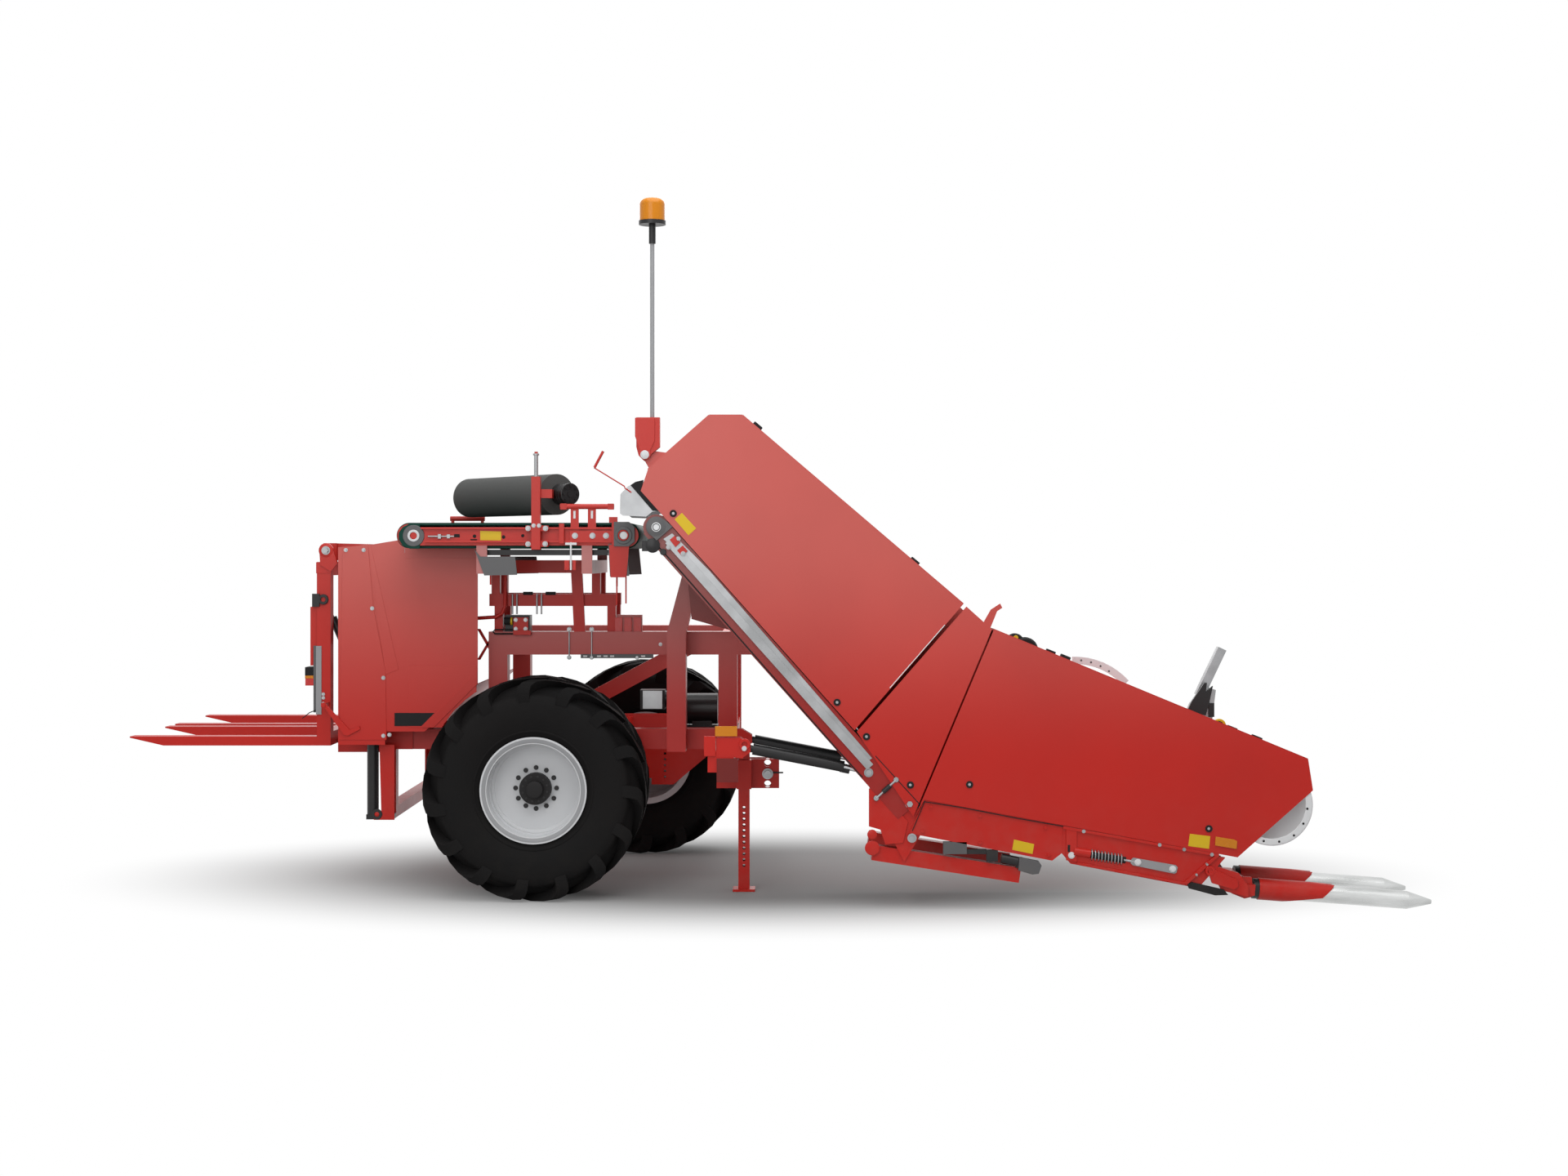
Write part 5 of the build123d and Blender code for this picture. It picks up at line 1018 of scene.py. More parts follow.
# %% [markdown]
# ## Shapes laid out from the picture
# Most small parts face the camera, so their shapes are measured in the picture, and `seen` turns them
# into metres at the depth of the surface that they stand on. A plate is an outline; a box is a plate from
# two corners; a disc and a ring stand on the surface; a bar and a path are round and lie in front of it.
# Each has how far it stands from the surface, in metres. Plates, discs and rings also reach a little into
# it, so that they don't float.

# %% Shapes laid out from the picture
EMBED = 0.0015
DISC_SEGMENTS = 28
DISC_PROFILE_SHARES = ((0, 1), (0.75, 1), (1, 0.86))
RING_SEGMENTS = 32
RING_SHOULDER_SHARE = 0.7
RING_TOP_SHARE = 0.95
ARC_STEPS = 12


def flat(u, v, depth_y):
    place = seen(u, v, depth_y)
    return place.x, place.z


def add_seen_plate(bm, base_y, stand, *places):
    near_y = base_y - stand
    add_plate(bm, [flat(u, v, near_y) for u, v in places], near_y, base_y + EMBED)


def add_seen_box(bm, base_y, stand, u0, v0, u1, v1):
    add_seen_plate(bm, base_y, stand, (u0, v0), (u1, v0), (u1, v1), (u0, v1))


def add_seen_disc(bm, base_y, stand, u, v, radius):
    near = seen(u, v, base_y - stand)
    size = radius * scale_at(base_y)
    profile = [(share, size * width) for share, width in DISC_PROFILE_SHARES]
    add_turned(bm, (near.x, base_y + EMBED, near.z), near, profile, DISC_SEGMENTS)


def add_seen_ring(bm, base_y, stand, u, v, outer, inner):
    wide, narrow = outer * scale_at(base_y), inner * scale_at(base_y)
    shoulder = (wide, stand * RING_SHOULDER_SHARE)
    section = ((wide, -EMBED), shoulder, (wide * RING_TOP_SHARE, stand), (narrow, stand), (narrow, -EMBED))
    add_lathe(bm, seen(u, v, base_y), section, -1, RING_SEGMENTS)


def add_seen_bar(bm, base_y, stand, u0, v0, u1, v1, radius):
    depth = base_y - stand
    add_rod(bm, seen(u0, v0, depth), seen(u1, v1, depth), radius * scale_at(depth))


def add_seen_path(bm, base_y, stand, radius, *places):
    depth = base_y - stand
    add_path(bm, [seen(u, v, depth) for u, v in places], radius * scale_at(depth))


def arc(u, v, outer, inner, first, last):
    """Places round a flat ring sector; the angles are in degrees, clockwise from straight up."""
    turns = [radians(first + (last - first) * step / ARC_STEPS) for step in range(ARC_STEPS + 1)]
    rim = [(u + outer * sin(turn), v - outer * cos(turn)) for turn in turns]
    return rim + [(u + inner * sin(turn), v - inner * cos(turn)) for turn in reversed(turns)]


SHAPES = {
    "plate": add_seen_plate,
    "box": add_seen_box,
    "disc": add_seen_disc,
    "ring": add_seen_ring,
    "bar": add_seen_bar,
    "path": add_seen_path,
}
print("kinds of shape:", *SHAPES)

# %% [markdown]
# ## Surfaces that carry the fittings
# A fitting has to touch what holds it. Where a surface is the nearest face of a solid, its depth is read
# from the frame. The others are inner faces and axes of solids that have more than one, so they are given
# as depths.

# %% Surfaces that carry the fittings
FITTING_BEVEL = 0.001


def face_of(node):
    """The depth of a node's nearest face."""
    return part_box(node)[0].y


COVER = face_of("front_covers")
SIDE = face_of("side_panels")
BEAM = face_of("front_beams")
CHANNEL = face_of("elevator_beams")
DRUM = face_of("front_drum")
# The conveyor's bearers end flush with the outer face of its frames
CONVEYOR = face_of("conveyor_bearers")
RAILS = face_of("frame_rails")
OUTRIGGER = face_of("outrigger")
HITCH = face_of("hitch_plates")
GUARD = face_of("discharge_walls")
MAST = face_of("mast_barrel")
FORK = face_of("fork_posts")
BEACON = face_of("beacon_bracket")


def fit_all(title, body, rows):
    """Makes a piece of each row: its name, its finish, the depth of its surface, and its shapes."""
    for name, finish, depth, shapes in rows:
        bm = bmesh.new()
        for kind, stand, *rest in shapes:
            SHAPES[kind](bm, depth, stand, *rest)
        fitting(name, bm, body, finish, bevel=FITTING_BEVEL)
    print(title, "fittings:", len(rows))


print("one picture unit on the covers:", round(scale_at(COVER) * 1000, 2), "mm")

# %% [markdown]
# ## Signs
# Four signs are glued to the covers, a side panel and the conveyor. They are thin plain yellow plates
# with their corners where the picture has them.

# %% Signs
SIGN_STAND = 0.0015
SIGN_BEVEL = 0.0006
SIGNS = (
    # name, body, surface, corners
    ("elevator", "picking_unit", COVER, ((835, 628), (852.5, 647), (843, 655.6), (826, 636))),
    ("side_panel", "picking_unit", SIDE, (
        (1241.6, 1028), (1266.4, 1033.7), (1264.3, 1045.8), (1239.4, 1040.6),
    )),
    ("front_cover", "picking_unit", COVER, ((1457, 1021), (1482, 1024), (1480.5, 1039.5), (1455, 1036))),
    ("conveyor", "chassis", CONVEYOR, ((588, 650), (613.6, 650.8), (613.6, 662), (588, 661.6))),
)
for label, body, depth, corners in SIGNS:
    bm = bmesh.new()
    add_seen_plate(bm, depth, SIGN_STAND, *corners)
    fitting(f"{label}_sign", bm, body, "sign_yellow", bevel=SIGN_BEVEL)
print("signs:", len(SIGNS))

# %% [markdown]
# ## Covers of the picking unit
# Steel buttons in rubber grommets hold the covers. At the top end sits the end of the head roller with
# its adjuster and motor, and a handle on the hood. Black lines along the cover's edges and the beam's
# lower edge are painted shade in the gaps there, and a pale line along a seam is a painted highlight.
# They are thin bars that lie in the surface, because a groove that fine would need a cut in the solid.

# %% Covers of the picking unit
GROMMETS = ((824.4, 628.7), (1025, 860), (1061, 902), (1114.7, 961.2), (1187.2, 960.7), (1480.2, 1014.7))
COVER_FITTINGS = (
    # piece, finish, depth of the surface, shapes as (kind, stand, places and sizes)
    ("cover_grommets", "black_rubber", COVER, [("ring", 0.006, u, v, 4.4, 2) for u, v in GROMMETS]),
    ("cover_buttons", "steel", COVER, [("disc", 0.004, u, v, 2) for u, v in GROMMETS]),
    ("front_reflector", "amber_lens", COVER, (
        ("plate", 0.009, (1488.7, 1024.6), (1511, 1028), (1515, 1030), (1514.3, 1039.7), (1488, 1035.3)),
    )),
    ("rubber_flap", "black_rubber", SIDE, (
        ("plate", 0.006, (772, 594), (778, 590), (788, 587.6), (786.5, 596.6), (811, 626), (799, 625.4)),
    )),
    ("head_roller_end", "grey_metal", COVER, (
        ("disc", 0.008, 803.6, 645, 12.6),
        ("plate", 0.007, (796, 654), (813, 636), (823.5, 645), (804, 662)),
    )),
    ("head_roller_cap", "white_drum", COVER, (
        ("ring", 0.012, 803.6, 645.5, 5.8, 4.6),
        ("disc", 0.011, 803.6, 645.5, 4),
    )),
    ("head_roller_bearing", "black_metal", COVER, (("ring", 0.0115, 803.6, 645.5, 4.7, 4),)),
    ("head_adjuster", "red_paint", COVER, (
        ("plate", 0.008, (820, 661), (826, 656), (833, 664), (827, 670)),
        ("plate", 0.006, (829, 674), (836, 668), (842, 675), (835, 681)),
    )),
    ("head_motor", "black_metal", SIDE, (
        ("disc", 0.012, 799, 668, 9),
        ("box", 0.01, 786, 662, 795, 675),
        ("disc", 0.01, 812, 676, 4),
    )),
    ("channel_skin", "steel", CHANNEL, (
        ("plate", 0.003, (823, 653), (869, 699), (907, 742.5), (1068, 928.5), (1058, 935), (894, 745),
         (846, 691), (812, 660)),
    )),
    # A pale bar along a seam: a painted highlight.
    ("seam_light", "white_drum", COVER, (("bar", -0.0005, 1089.5, 842.6, 1157, 765.2, 0.55),)),
    # Black bars along the cover's edges: painted shade in the gaps.
    ("cover_hem", "black_rubber", COVER, (
        ("path", -0.0008, 0.55, (1131, 981.6), (1180, 989.2), (1240, 1001), (1303.7, 1012.2),
         (1494.8, 1048.2)),
        ("bar", -0.0008, 1072, 925.6, 1127, 985.8, 0.6),
        ("bar", -0.0008, 1132.5, 981, 1117, 1017.6, 0.5),
    )),
    # A black bar along the beam's lower edge: painted shade.
    ("beam_edge", "black_rubber", CHANNEL, (
        ("path", 0.001, 0.8, (806, 669), (836, 702.5), (870, 741.5), (1024.5, 917), (1056, 952)),
    )),
    ("hood_handle", "red_paint", SIDE, (
        ("path", 0.004, 0.8, (773, 603), (765, 597.5), (764.6, 595.5), (727.5, 572.7), (729, 570.5)),
        ("bar", 0.004, 728, 572.4, 738.6, 552.5, 1.7),
    )),
)
fit_all("cover", "picking_unit", COVER_FITTINGS)

# %% [markdown]
# ## Beacon bracket
# The beacon's pole folds about a pin at the foot of its bracket. The face plate and the pin's end are on
# the part that turns, so they ride on the beacon.

# %% Beacon bracket
BEACON_FRONT = BEACON - 0.008
BEACON_FITTINGS = (
    ("beacon_hinge", "rim_grey", BEACON_FRONT, (("disc", 0.006, 789.4, 556.7, 5.4),)),
    ("beacon_face", "red_paint", BEACON, (
        ("plate", 0.008, (777.5, 511.5), (801.5, 511.5), (801.5, 540), (796, 551), (796.5, 558),
         (792.5, 562.5), (786.5, 562.5), (782.5, 558), (783, 550), (777.5, 534)),
    )),
)
fit_all("beacon", "beacon", BEACON_FITTINGS)

# %% [markdown]
# ## Setting gear and head
# Knobs, a height wheel on an upright bracket and a guide arc are for setting the machine by hand. A
# turnbuckle tilts the head, and small motors sit on its tubes.

# %% Setting gear and head
KNOBS = -1.2
KNOB_FRONT = KNOBS - 0.035
UPRIGHT = -1.1125
UPRIGHT_FRONT = UPRIGHT - 0.02
GUIDE = COVER + 0.36
GUIDE_FRONT = GUIDE - 0.005
TUBES = SIDE + 0.03
HEAD_BRACKET = SIDE + 0.016
HEAD_FITTINGS = (
    ("knob_discs", "black_rubber", KNOBS, (
        ("disc", 0.035, 1243, 787, 11.4),
        ("disc", 0.06, 1256, 796, 15.5),
    )),
    ("knob_spot", "sign_yellow", KNOB_FRONT, (("disc", 0.004, 1244, 781, 3),)),
    ("upright_bracket", "black_metal", UPRIGHT, (
        ("plate", 0.02, (1474.5, 836.6), (1478, 836), (1476.5, 848), (1485.3, 839.8), (1480.7, 861.5),
         (1476.5, 876), (1465, 874), (1454.8, 868.8), (1459, 859.5)),
        ("box", 0.012, 1480, 861, 1487, 878),
    )),
    ("height_wheel", "sign_yellow", UPRIGHT_FRONT, (("ring", 0.02, 1492.6, 888, 8, 5),)),
    ("height_wheel_hub", "black_metal", UPRIGHT_FRONT, (("disc", 0.026, 1492.6, 888, 5.2),)),
    ("guide_arc", "white_drum", GUIDE, (("plate", 0.005, *arc(1316, 893, 89, 80, -2, 48)),)),
    # Grey discs in the arc's slots: painted shade in them.
    ("guide_slots", "grey_metal", GUIDE_FRONT, [
        ("disc", 0.001, u, v, 1.3) for u, v in ((1324, 808.6), (1336, 811), (1347.6, 815.6), (1358, 821.8))
    ]),
    ("turnbuckle_body", "black_metal", SIDE, (("bar", 0.009, 1081, 970, 1090, 962, 3),)),
    ("turnbuckle_rods", "steel", SIDE, (
        ("bar", 0.008, 1072.9, 977.6, 1097.3, 955, 1.5),
        ("disc", 0.014, 1072.9, 977.6, 3.4),
        ("disc", 0.014, 1097.3, 955, 3.4),
    )),
    ("tube_mounts", "grey_metal", TUBES, (
        ("box", 0.03, 1155, 1031, 1184, 1046),
        ("plate", 0.028, (1248, 1050), (1272, 1054.6), (1275.6, 1060), (1272, 1070), (1264, 1071),
         (1247, 1066)),
    )),
    ("tube_motors", "black_metal", TUBES, (
        ("box", 0.028, 1208, 1041, 1222, 1055),
        ("bar", 0.01, 1226, 1051, 1246, 1055, 6),
        ("box", 0.02, 1184, 1040, 1208, 1046),
        ("box", 0.02, 1244, 1050, 1252, 1063),
    )),
    ("bracket_stub", "red_paint", SIDE, (("disc", 0.008, 1068, 1022, 6), ("disc", 0.004, 1068, 1038.5, 9))),
    ("bracket_face", "red_paint", HEAD_BRACKET, (
        ("plate", 0.014, (1064, 966), (1072, 964), (1112, 1006), (1106, 1032), (1084, 1034),
         (1078, 1016), (1064, 1012)),
    )),
)
fit_all("head", "picking_unit", HEAD_FITTINGS)

# %% [markdown]
# ## Front beams and drum
# The front beam has flanges along its edges, a seat for the float spring, a link plate, an arm and a
# rubber skid. The spring's rod and its dark core are plain bars here, and the coil follows in a cell of
# its own.

# %% Front beams and drum
SEAT_FRONT = BEAM - 0.01
DRUM_RIM = DRUM - 0.004
CLEVIS = -1.36
CLEVIS_FRONT = CLEVIS - 0.012
FRONT_FITTINGS = (
    ("spring_seat", "red_paint", BEAM, (
        ("bar", -0.002, 1315, 1042.4, 1335, 1045.6, 5.4),
        ("plate", 0.01, (1305.6, 1015.6), (1318.6, 1017.6), (1318.6, 1055.5), (1305.6, 1053.5)),
    )),
    ("link_plate", "rim_shade", BEAM, (
        ("plate", 0.01, (1388, 1050.4), (1440, 1059.6), (1442.2, 1062), (1440.8, 1068.4), (1438, 1070),
         (1387, 1059.6), (1384.6, 1057), (1385.4, 1052.4)),
    )),
    ("spring_rod", "steel", BEAM, (("bar", 0.004, 1376, 1053, 1392, 1055.7, 1.5),)),
    ("spring_core", "black_rubber", BEAM, (("bar", -0.012, 1335, 1046.2, 1378, 1053, 4.8),)),
    # A black box in the seat's slot: painted shade in it.
    ("post_slot", "black_rubber", SEAT_FRONT, (("box", 0.0015, 1307.4, 1034.6, 1310.4, 1043.5),)),
    ("beam_flanges", "red_paint", BEAM, (
        ("plate", 0.012, (1302, 1011.6), (1493, 1046), (1492.6, 1049.4), (1302, 1015)),
        ("plate", 0.012, (1319, 1056), (1453, 1081), (1453, 1084), (1319, 1059)),
        ("plate", 0.014, (1453, 1084), (1449.5, 1081), (1487, 1048.7), (1492.6, 1048.7)),
    )),
    ("front_arm", "red_paint", BEAM, (
        ("plate", 0.02, (1477.5, 1060.3), (1515.4, 1078), (1516.6, 1086), (1511, 1089.3), (1484.2, 1081.5)),
        ("ring", 0.0225, 1481, 1066, 6, 3),
    )),
    ("skids", "black_rubber", BEAM, (
        ("plate", 0.016, (1454, 1083), (1460, 1080.5), (1499, 1089.5), (1504, 1096), (1488, 1096.5),
         (1456, 1088)),
    )),
    ("drum_rim", "white_drum", DRUM, (("ring", 0.004, 1557, 985, 50, 42),)),
    # Black discs in the drum rim's holes: painted shade in them.
    ("drum_holes", "black_rubber", DRUM_RIM, [
        ("disc", 0.0012, u, v, 1.5)
        for u, v in ((1600.9, 990.3), (1596, 1008.6), (1584.4, 1023), (1566.4, 1030.6), (1547.5, 1029.9))
    ]),
    ("clevises", "red_paint", CLEVIS, (
        ("plate", 0.012, (1505, 1078), (1512, 1072.5), (1533, 1074), (1534, 1098), (1524, 1100.4),
         (1508, 1094)),
    )),
    ("clevis_pins", "steel", CLEVIS_FRONT, (("disc", 0.008, 1522, 1091.5, 4),)),
)
fit_all("front", "picking_unit", FRONT_FITTINGS)

# %% [markdown]
# ## Conveyor
# Folded flanges stiffen the side frame. Both rollers end in bearings, and the tail one has an adjuster.
# The belt wraps round the tail, which shows as a green plate with a rounded outline.

# %% Conveyor
END_RODS = CONVEYOR + 0.02
FLAT = CONVEYOR - 0.006
SLEEVE = -1.104
BELT_FAR = -0.06
BELT_GUARD_WIDTH = 0.97
TIES = -1.04
CONVEYOR_FITTINGS = (
    ("conveyor_flanges", "red_paint", CONVEYOR, (
        ("box", 0.016, 515, 645.6, 749, 648),
        ("box", 0.016, 520, 662, 749, 664.4),
    )),
    ("tail_wrap", "belt_rubber", CONVEYOR, (
        ("plate", 0.004, (514, 641), (502, 641), (493, 645.5), (488, 652.5), (488, 660.5), (493, 668),
         (502, 672), (514, 672)),
    )),
    ("tail_roller_end", "grey_metal", CONVEYOR, (("ring", 0.008, 506.5, 656, 13.2, 7.2),)),
    ("tail_roller_cap", "rim_grey", CONVEYOR, (("ring", 0.012, 506.5, 656, 7.4, 4.4),)),
    ("tail_roller_bearing", "red_paint", CONVEYOR, (("disc", 0.01, 506.5, 656, 4.6),)),
    # Black discs and boxes in the frame's holes: painted shade in them.
    ("conveyor_holes", "black_rubber", CONVEYOR, (
        ("disc", 0.002, 581, 656.6, 2.2),
        ("disc", 0.002, 616.6, 657.5, 2.2),
        ("disc", 0.002, 640, 656, 2),
        ("box", 0.002, 556, 654, 563, 658),
        ("box", 0.002, 576, 660, 584, 661.6),
    )),
    ("tail_adjuster", "steel", CONVEYOR, (
        ("bar", 0.006, 524, 656.8, 556, 656.8, 1.1),
        ("box", 0.014, 536, 654, 540, 659.6),
        ("box", 0.012, 547, 654.4, 551, 659.2),
    )),
    ("head_housing", "grey_metal", CONVEYOR, (
        ("plate", 0.02, (751.6, 639), (770, 639), (777, 645), (777, 663), (770, 669), (751.6, 669)),
        ("ring", 0.026, 763.6, 655.6, 11, 7),
    )),
    ("head_housing_ring", "red_paint", CONVEYOR, (("ring", 0.03, 763.6, 655.6, 6.8, 5.2),)),
    ("head_housing_cap", "white_drum", CONVEYOR, (("disc", 0.028, 763.6, 655.6, 5.3),)),
    ("end_rods", "red_paint", END_RODS, (
        ("bar", 0, 755.3, 704, 755.3, 741, 0.9),
        ("bar", 0, 766.5, 704, 766.5, 739, 0.9),
    )),
    ("spindle", "white_drum", CONVEYOR, (
        ("bar", 0.02, 699, 664, 699, 698, 1.2),
        ("box", 0.024, 692, 664.4, 706, 667.4),
    )),
    ("spindle_yoke", "red_paint", CONVEYOR, (
        ("box", 0.012, 691, 686, 697, 698),
        ("box", 0.012, 701, 686, 705, 698),
    )),
    ("head_end_strip", "red_paint", CONVEYOR, (
        ("box", 0.012, 749, 640, 752, 668),
        ("box", 0.012, 745.7, 633, 756, 640),
        ("box", 0.012, 697.5, 650, 749, 664),
    )),
    # White boxes in the flats' slots: painted light where the white backdrop shows through.
    ("flat_slots", "white_drum", FLAT, [("box", 0.0015, u, 625.4, u + 2.8, 635) for u in (702, 723.4)]),
    ("bar_grip", "red_paint", CONVEYOR, (
        ("box", 0.018, 686, 616.6, 694, 624),
        ("box", 0.018, 744, 616.6, 751.4, 624),
    )),
    ("post_clamp", "red_paint", CONVEYOR, (
        ("box", 0.057, 650.5, 640, 661.5, 673),
        ("box", 0.04, 643.5, 643.5, 671, 650.5),
        ("box", 0.04, 643.5, 662.5, 671, 669.5),
        ("box", 0.03, 684.5, 641, 690.5, 665.6),
    )),
    ("spindle_sleeve", "steel", SLEEVE, (
        ("bar", 0, 656.5, 556, 656.5, 585, 2.5),
        ("bar", 0, 656.5, 555.4, 656.5, 557.6, 3.8),
    )),
    ("belt_guard", "black_metal", BELT_FAR, (
        ("plate", BELT_GUARD_WIDTH, (590, 673), (746, 673), (744, 680), (592, 680)),
    )),
    ("head_deflector_skin", "red_paint", FLAT, (
        ("plate", 0.004, (745.6, 667), (770.6, 667), (767, 707), (747.6, 707)),
    )),
    ("rail_ties", "red_paint", TIES, (
        ("bar", 0, 600.7, 703, 600.7, 716, 1.1),
        ("bar", 0, 755.4, 700, 755.4, 718, 1.1),
    )),
)
fit_all("conveyor", "chassis", CONVEYOR_FITTINGS)

# %% [markdown]
# ## Frame
# The middle rail carries pads and U-bolts, the lower one a clamp plate with slots. The valve has its
# plate, its knob and a row of red sockets for hoses. A U-bolt shows only its two legs from the side, so
# it is two bars.

# %% Frame
RAIL_CLAMP = RAILS + 0.004
MID_RAIL = -0.48
HANDRAIL = -0.45
POST_FACE = -0.5
PUMP = -0.4
FRAME_FITTINGS = (
    ("rail_pads", "black_rubber", MID_RAIL, (
        ("box", 0.006, 640.5, 724.6, 652.5, 728.6),
        ("box", 0.006, 668, 724.6, 680.5, 728.6),
    )),
    ("u_bolts", "steel", MID_RAIL, [
        ("bar", 0.006, u, 727.5, u, 752, 1.1) for u in (627.5, 633, 657.5, 663)
    ]),
    ("rail_u_bolts", "steel", RAILS, [("bar", 0.006, u, 768, u, 807, 0.8) for u in (697, 724.5)]),
    ("clamp_plates", "grey_metal", RAIL_CLAMP, (("box", 0.012, 711, 801, 800, 806),)),
    # White boxes in the clamp plate's slots and a white disc in the rail's hole: painted light seen through
    # them.
    ("clamp_slots", "white_drum", RAIL_CLAMP, [
        ("box", 0.0135, u, 802.6, u + 5, 804.6) for u in (714, 731, 739, 747, 785)
    ]),
    ("rail_hole", "white_drum", RAILS, (("disc", 0.002, 808.7, 789, 2.3),)),
    ("handrail", "red_paint", HANDRAIL, (
        ("path", 0.05, 2.3, (619, 700), (618.5, 742), (615, 751), (607, 755.5), (584, 757)),
    )),
    ("valve_plate", "red_paint", RAILS, (
        ("box", 0.01, 628.5, 756, 646.7, 776),
        ("box", 0.03, 628.5, 772, 650, 777.5),
    )),
    ("valve_knob", "black_rubber", RAILS, (
        ("bar", 0.012, 617.5, 760.5, 627, 760.5, 4.6),
        ("path", 0.012, 0.9, (628, 771), (606, 771), (603.6, 773.5), (606, 776), (628, 776)),
    )),
    ("valve_ring", "sign_yellow", RAILS, (("bar", 0.012, 625.4, 760.5, 627.6, 760.5, 4.8),)),
    ("post_gussets", "red_paint", POST_FACE, (
        ("plate", 0.008, (584, 770), (588, 770), (599, 789), (599, 796)),
        ("plate", 0.008, (584, 808), (588, 808), (599, 789), (599, 783)),
    )),
    ("pump_face", "steel", PUMP, (("plate", 0.01, (787, 846), (811, 846), (811, 868), (787, 868)),)),
    ("hose_sockets", "lamp_red", MID_RAIL, [("box", 0.012, u, 756, u + 9, 775) for u in (753, 764.5, 776)]),
)
fit_all("frame", "chassis", FRAME_FITTINGS)

# %% [markdown]
# ## Outrigger and lift cylinders
# The outrigger has pads round its ear, a dark plate that is painted shade for the mouth of its tube, an
# amber reflector and the handle of the hitch pin. The near lift barrel ends in a black gland, which swings
# with the barrel.

# %% Outrigger and lift cylinders
LIFT_AXIS = -1.35
OUTRIGGER_FITTINGS = (
    ("outrigger_reflector", "amber_lens", OUTRIGGER, (("box", 0.009, 875.6, 889.3, 902.6, 901.6),)),
    ("ear_pads", "red_paint", OUTRIGGER, (
        ("box", 0.014, 862, 901.6, 876, 926),
        ("ring", 0.012, 911.8, 911.4, 7, 3.4),
    )),
    # A dark red plate: painted shade for the mouth of the outrigger's tube.
    ("tube_socket", "deep_red", OUTRIGGER, (("box", 0.0165, 877.5, 929, 903.6, 958),)),
    ("ear_bolt_cap", "rim_grey", OUTRIGGER, (("disc", 0.016, 911.2, 916.8, 3.2),)),
    ("pin_handle", "black_metal", HITCH, (("bar", 0.006, 937, 946, 959, 946, 1),)),
)
GLAND_FITTINGS = (
    ("barrel_glands", "black_metal", LIFT_AXIS, (("bar", 0, 1029, 939.8, 1040.5, 942.2, 5.6),)),
)
fit_all("outrigger", "chassis", OUTRIGGER_FITTINGS)
fit_all("gland", "lift_barrel_pair", GLAND_FITTINGS)

# %% [markdown]
# ## Discharge and mast
# Sheet guards and a brace cover the corner between the discharge wall and the mast. They are thin plates
# on the wall, because only their outlines show. The mast's centre cylinder stands in an eye at the foot.

# %% Discharge and mast
REAR_FITTINGS = (
    ("guard_sheet", "cover_paint", GUARD, (
        ("plate", 0.004, (419.5, 671.8), (450.4, 666), (457, 742), (472, 822), (473.3, 906), (415.6, 906)),
        ("plate", 0.002, (450.4, 666), (454, 668), (488, 820), (472, 826)),
    )),
    ("wall_corner", "cover_paint", GUARD, (
        ("plate", 0.002, (500, 815), (583.5, 815), (583.5, 847), (570, 857), (555, 871), (545, 885),
         (541, 891), (500, 891)),
        ("box", 0.002, 496, 664, 583.5, 684),
    )),
    ("mast_foot", "red_paint", MAST, (
        ("plate", 0.002, (464.5, 912), (483, 912), (483, 1004), (457.5, 1004), (457.5, 1000), (467, 1000)),
    )),
    # A black plate on the wall: painted shade in the opening between the wall's foot and the rail.
    ("floor_slot", "black_rubber", GUARD, (
        ("plate", 0.0035, (483, 873), (532, 873), (516, 889), (483, 889)),
    )),
    ("wall_brace", "cover_paint", GUARD, (
        ("plate", 0.006, (517, 891), (584, 822), (584, 838), (531, 891)),
    )),
    ("mast_eye", "black_metal", MAST, (("ring", 0.006, 461.6, 997, 6.6, 3),)),
    ("mast_eye_pin", "red_paint", MAST, (("disc", 0.004, 461.6, 997, 3.2),)),
)
fit_all("rear", "chassis", REAR_FITTINGS)

# %% [markdown]
# ## Fork frame
# The fork frame carries its hinge, a clamp and the bar of the tail lamp, with a cable to the lamp. All of
# it tilts and lifts with the fork, also the lamp's foot, which at rest lies over the guard.

# %% Fork frame
FORK_PLATE = FORK + 0.07
FOOT = GUARD - 0.008
FORK_FITTINGS = (
    ("fork_post_cap", "red_paint", FORK, (("box", 0.003, 387, 688.5, 405.6, 702),)),
    ("fork_hinge", "red_paint", FORK, (
        ("disc", 0.012, 399, 674, 9),
        ("plate", 0.01, (391, 676), (407, 672), (413, 690), (405, 700), (392, 692)),
    )),
    ("fork_clamp", "black_metal", FORK, (
        ("box", 0.014, 382, 727, 391, 743),
        ("ring", 0.012, 396, 734, 6.4, 3),
    )),
    ("fork_plate", "red_paint", FORK_PLATE, (("box", 0.06, 380, 743, 388, 815),)),
    ("lamp_bar", "rim_shade", FORK, (("box", 0.006, 386.8, 791, 393.6, 875),)),
    ("lamp_arm", "red_paint", FORK, (("box", 0.118, 393, 861, 398, 866),)),
    ("lamp_foot", "red_paint", FOOT, (
        ("plate", 0.008, (394, 862), (398, 861), (428, 894), (440, 889), (441, 893), (426, 901),
         (421, 900)),
    )),
    ("lamp_cable", "black_rubber", FORK, (
        ("path", 0.003, 0.6, (392, 869), (386, 870), (379, 872.6), (373, 877.6), (370, 879.6)),
    )),
)
fit_all("fork", "fork_frame", FORK_FITTINGS)

# %% [markdown]
# ## Float spring
# The float spring lies along the front beam and is a helix of round wire. A loop winds its places round
# the line from the seat to the link plate, and a bent bar follows them.

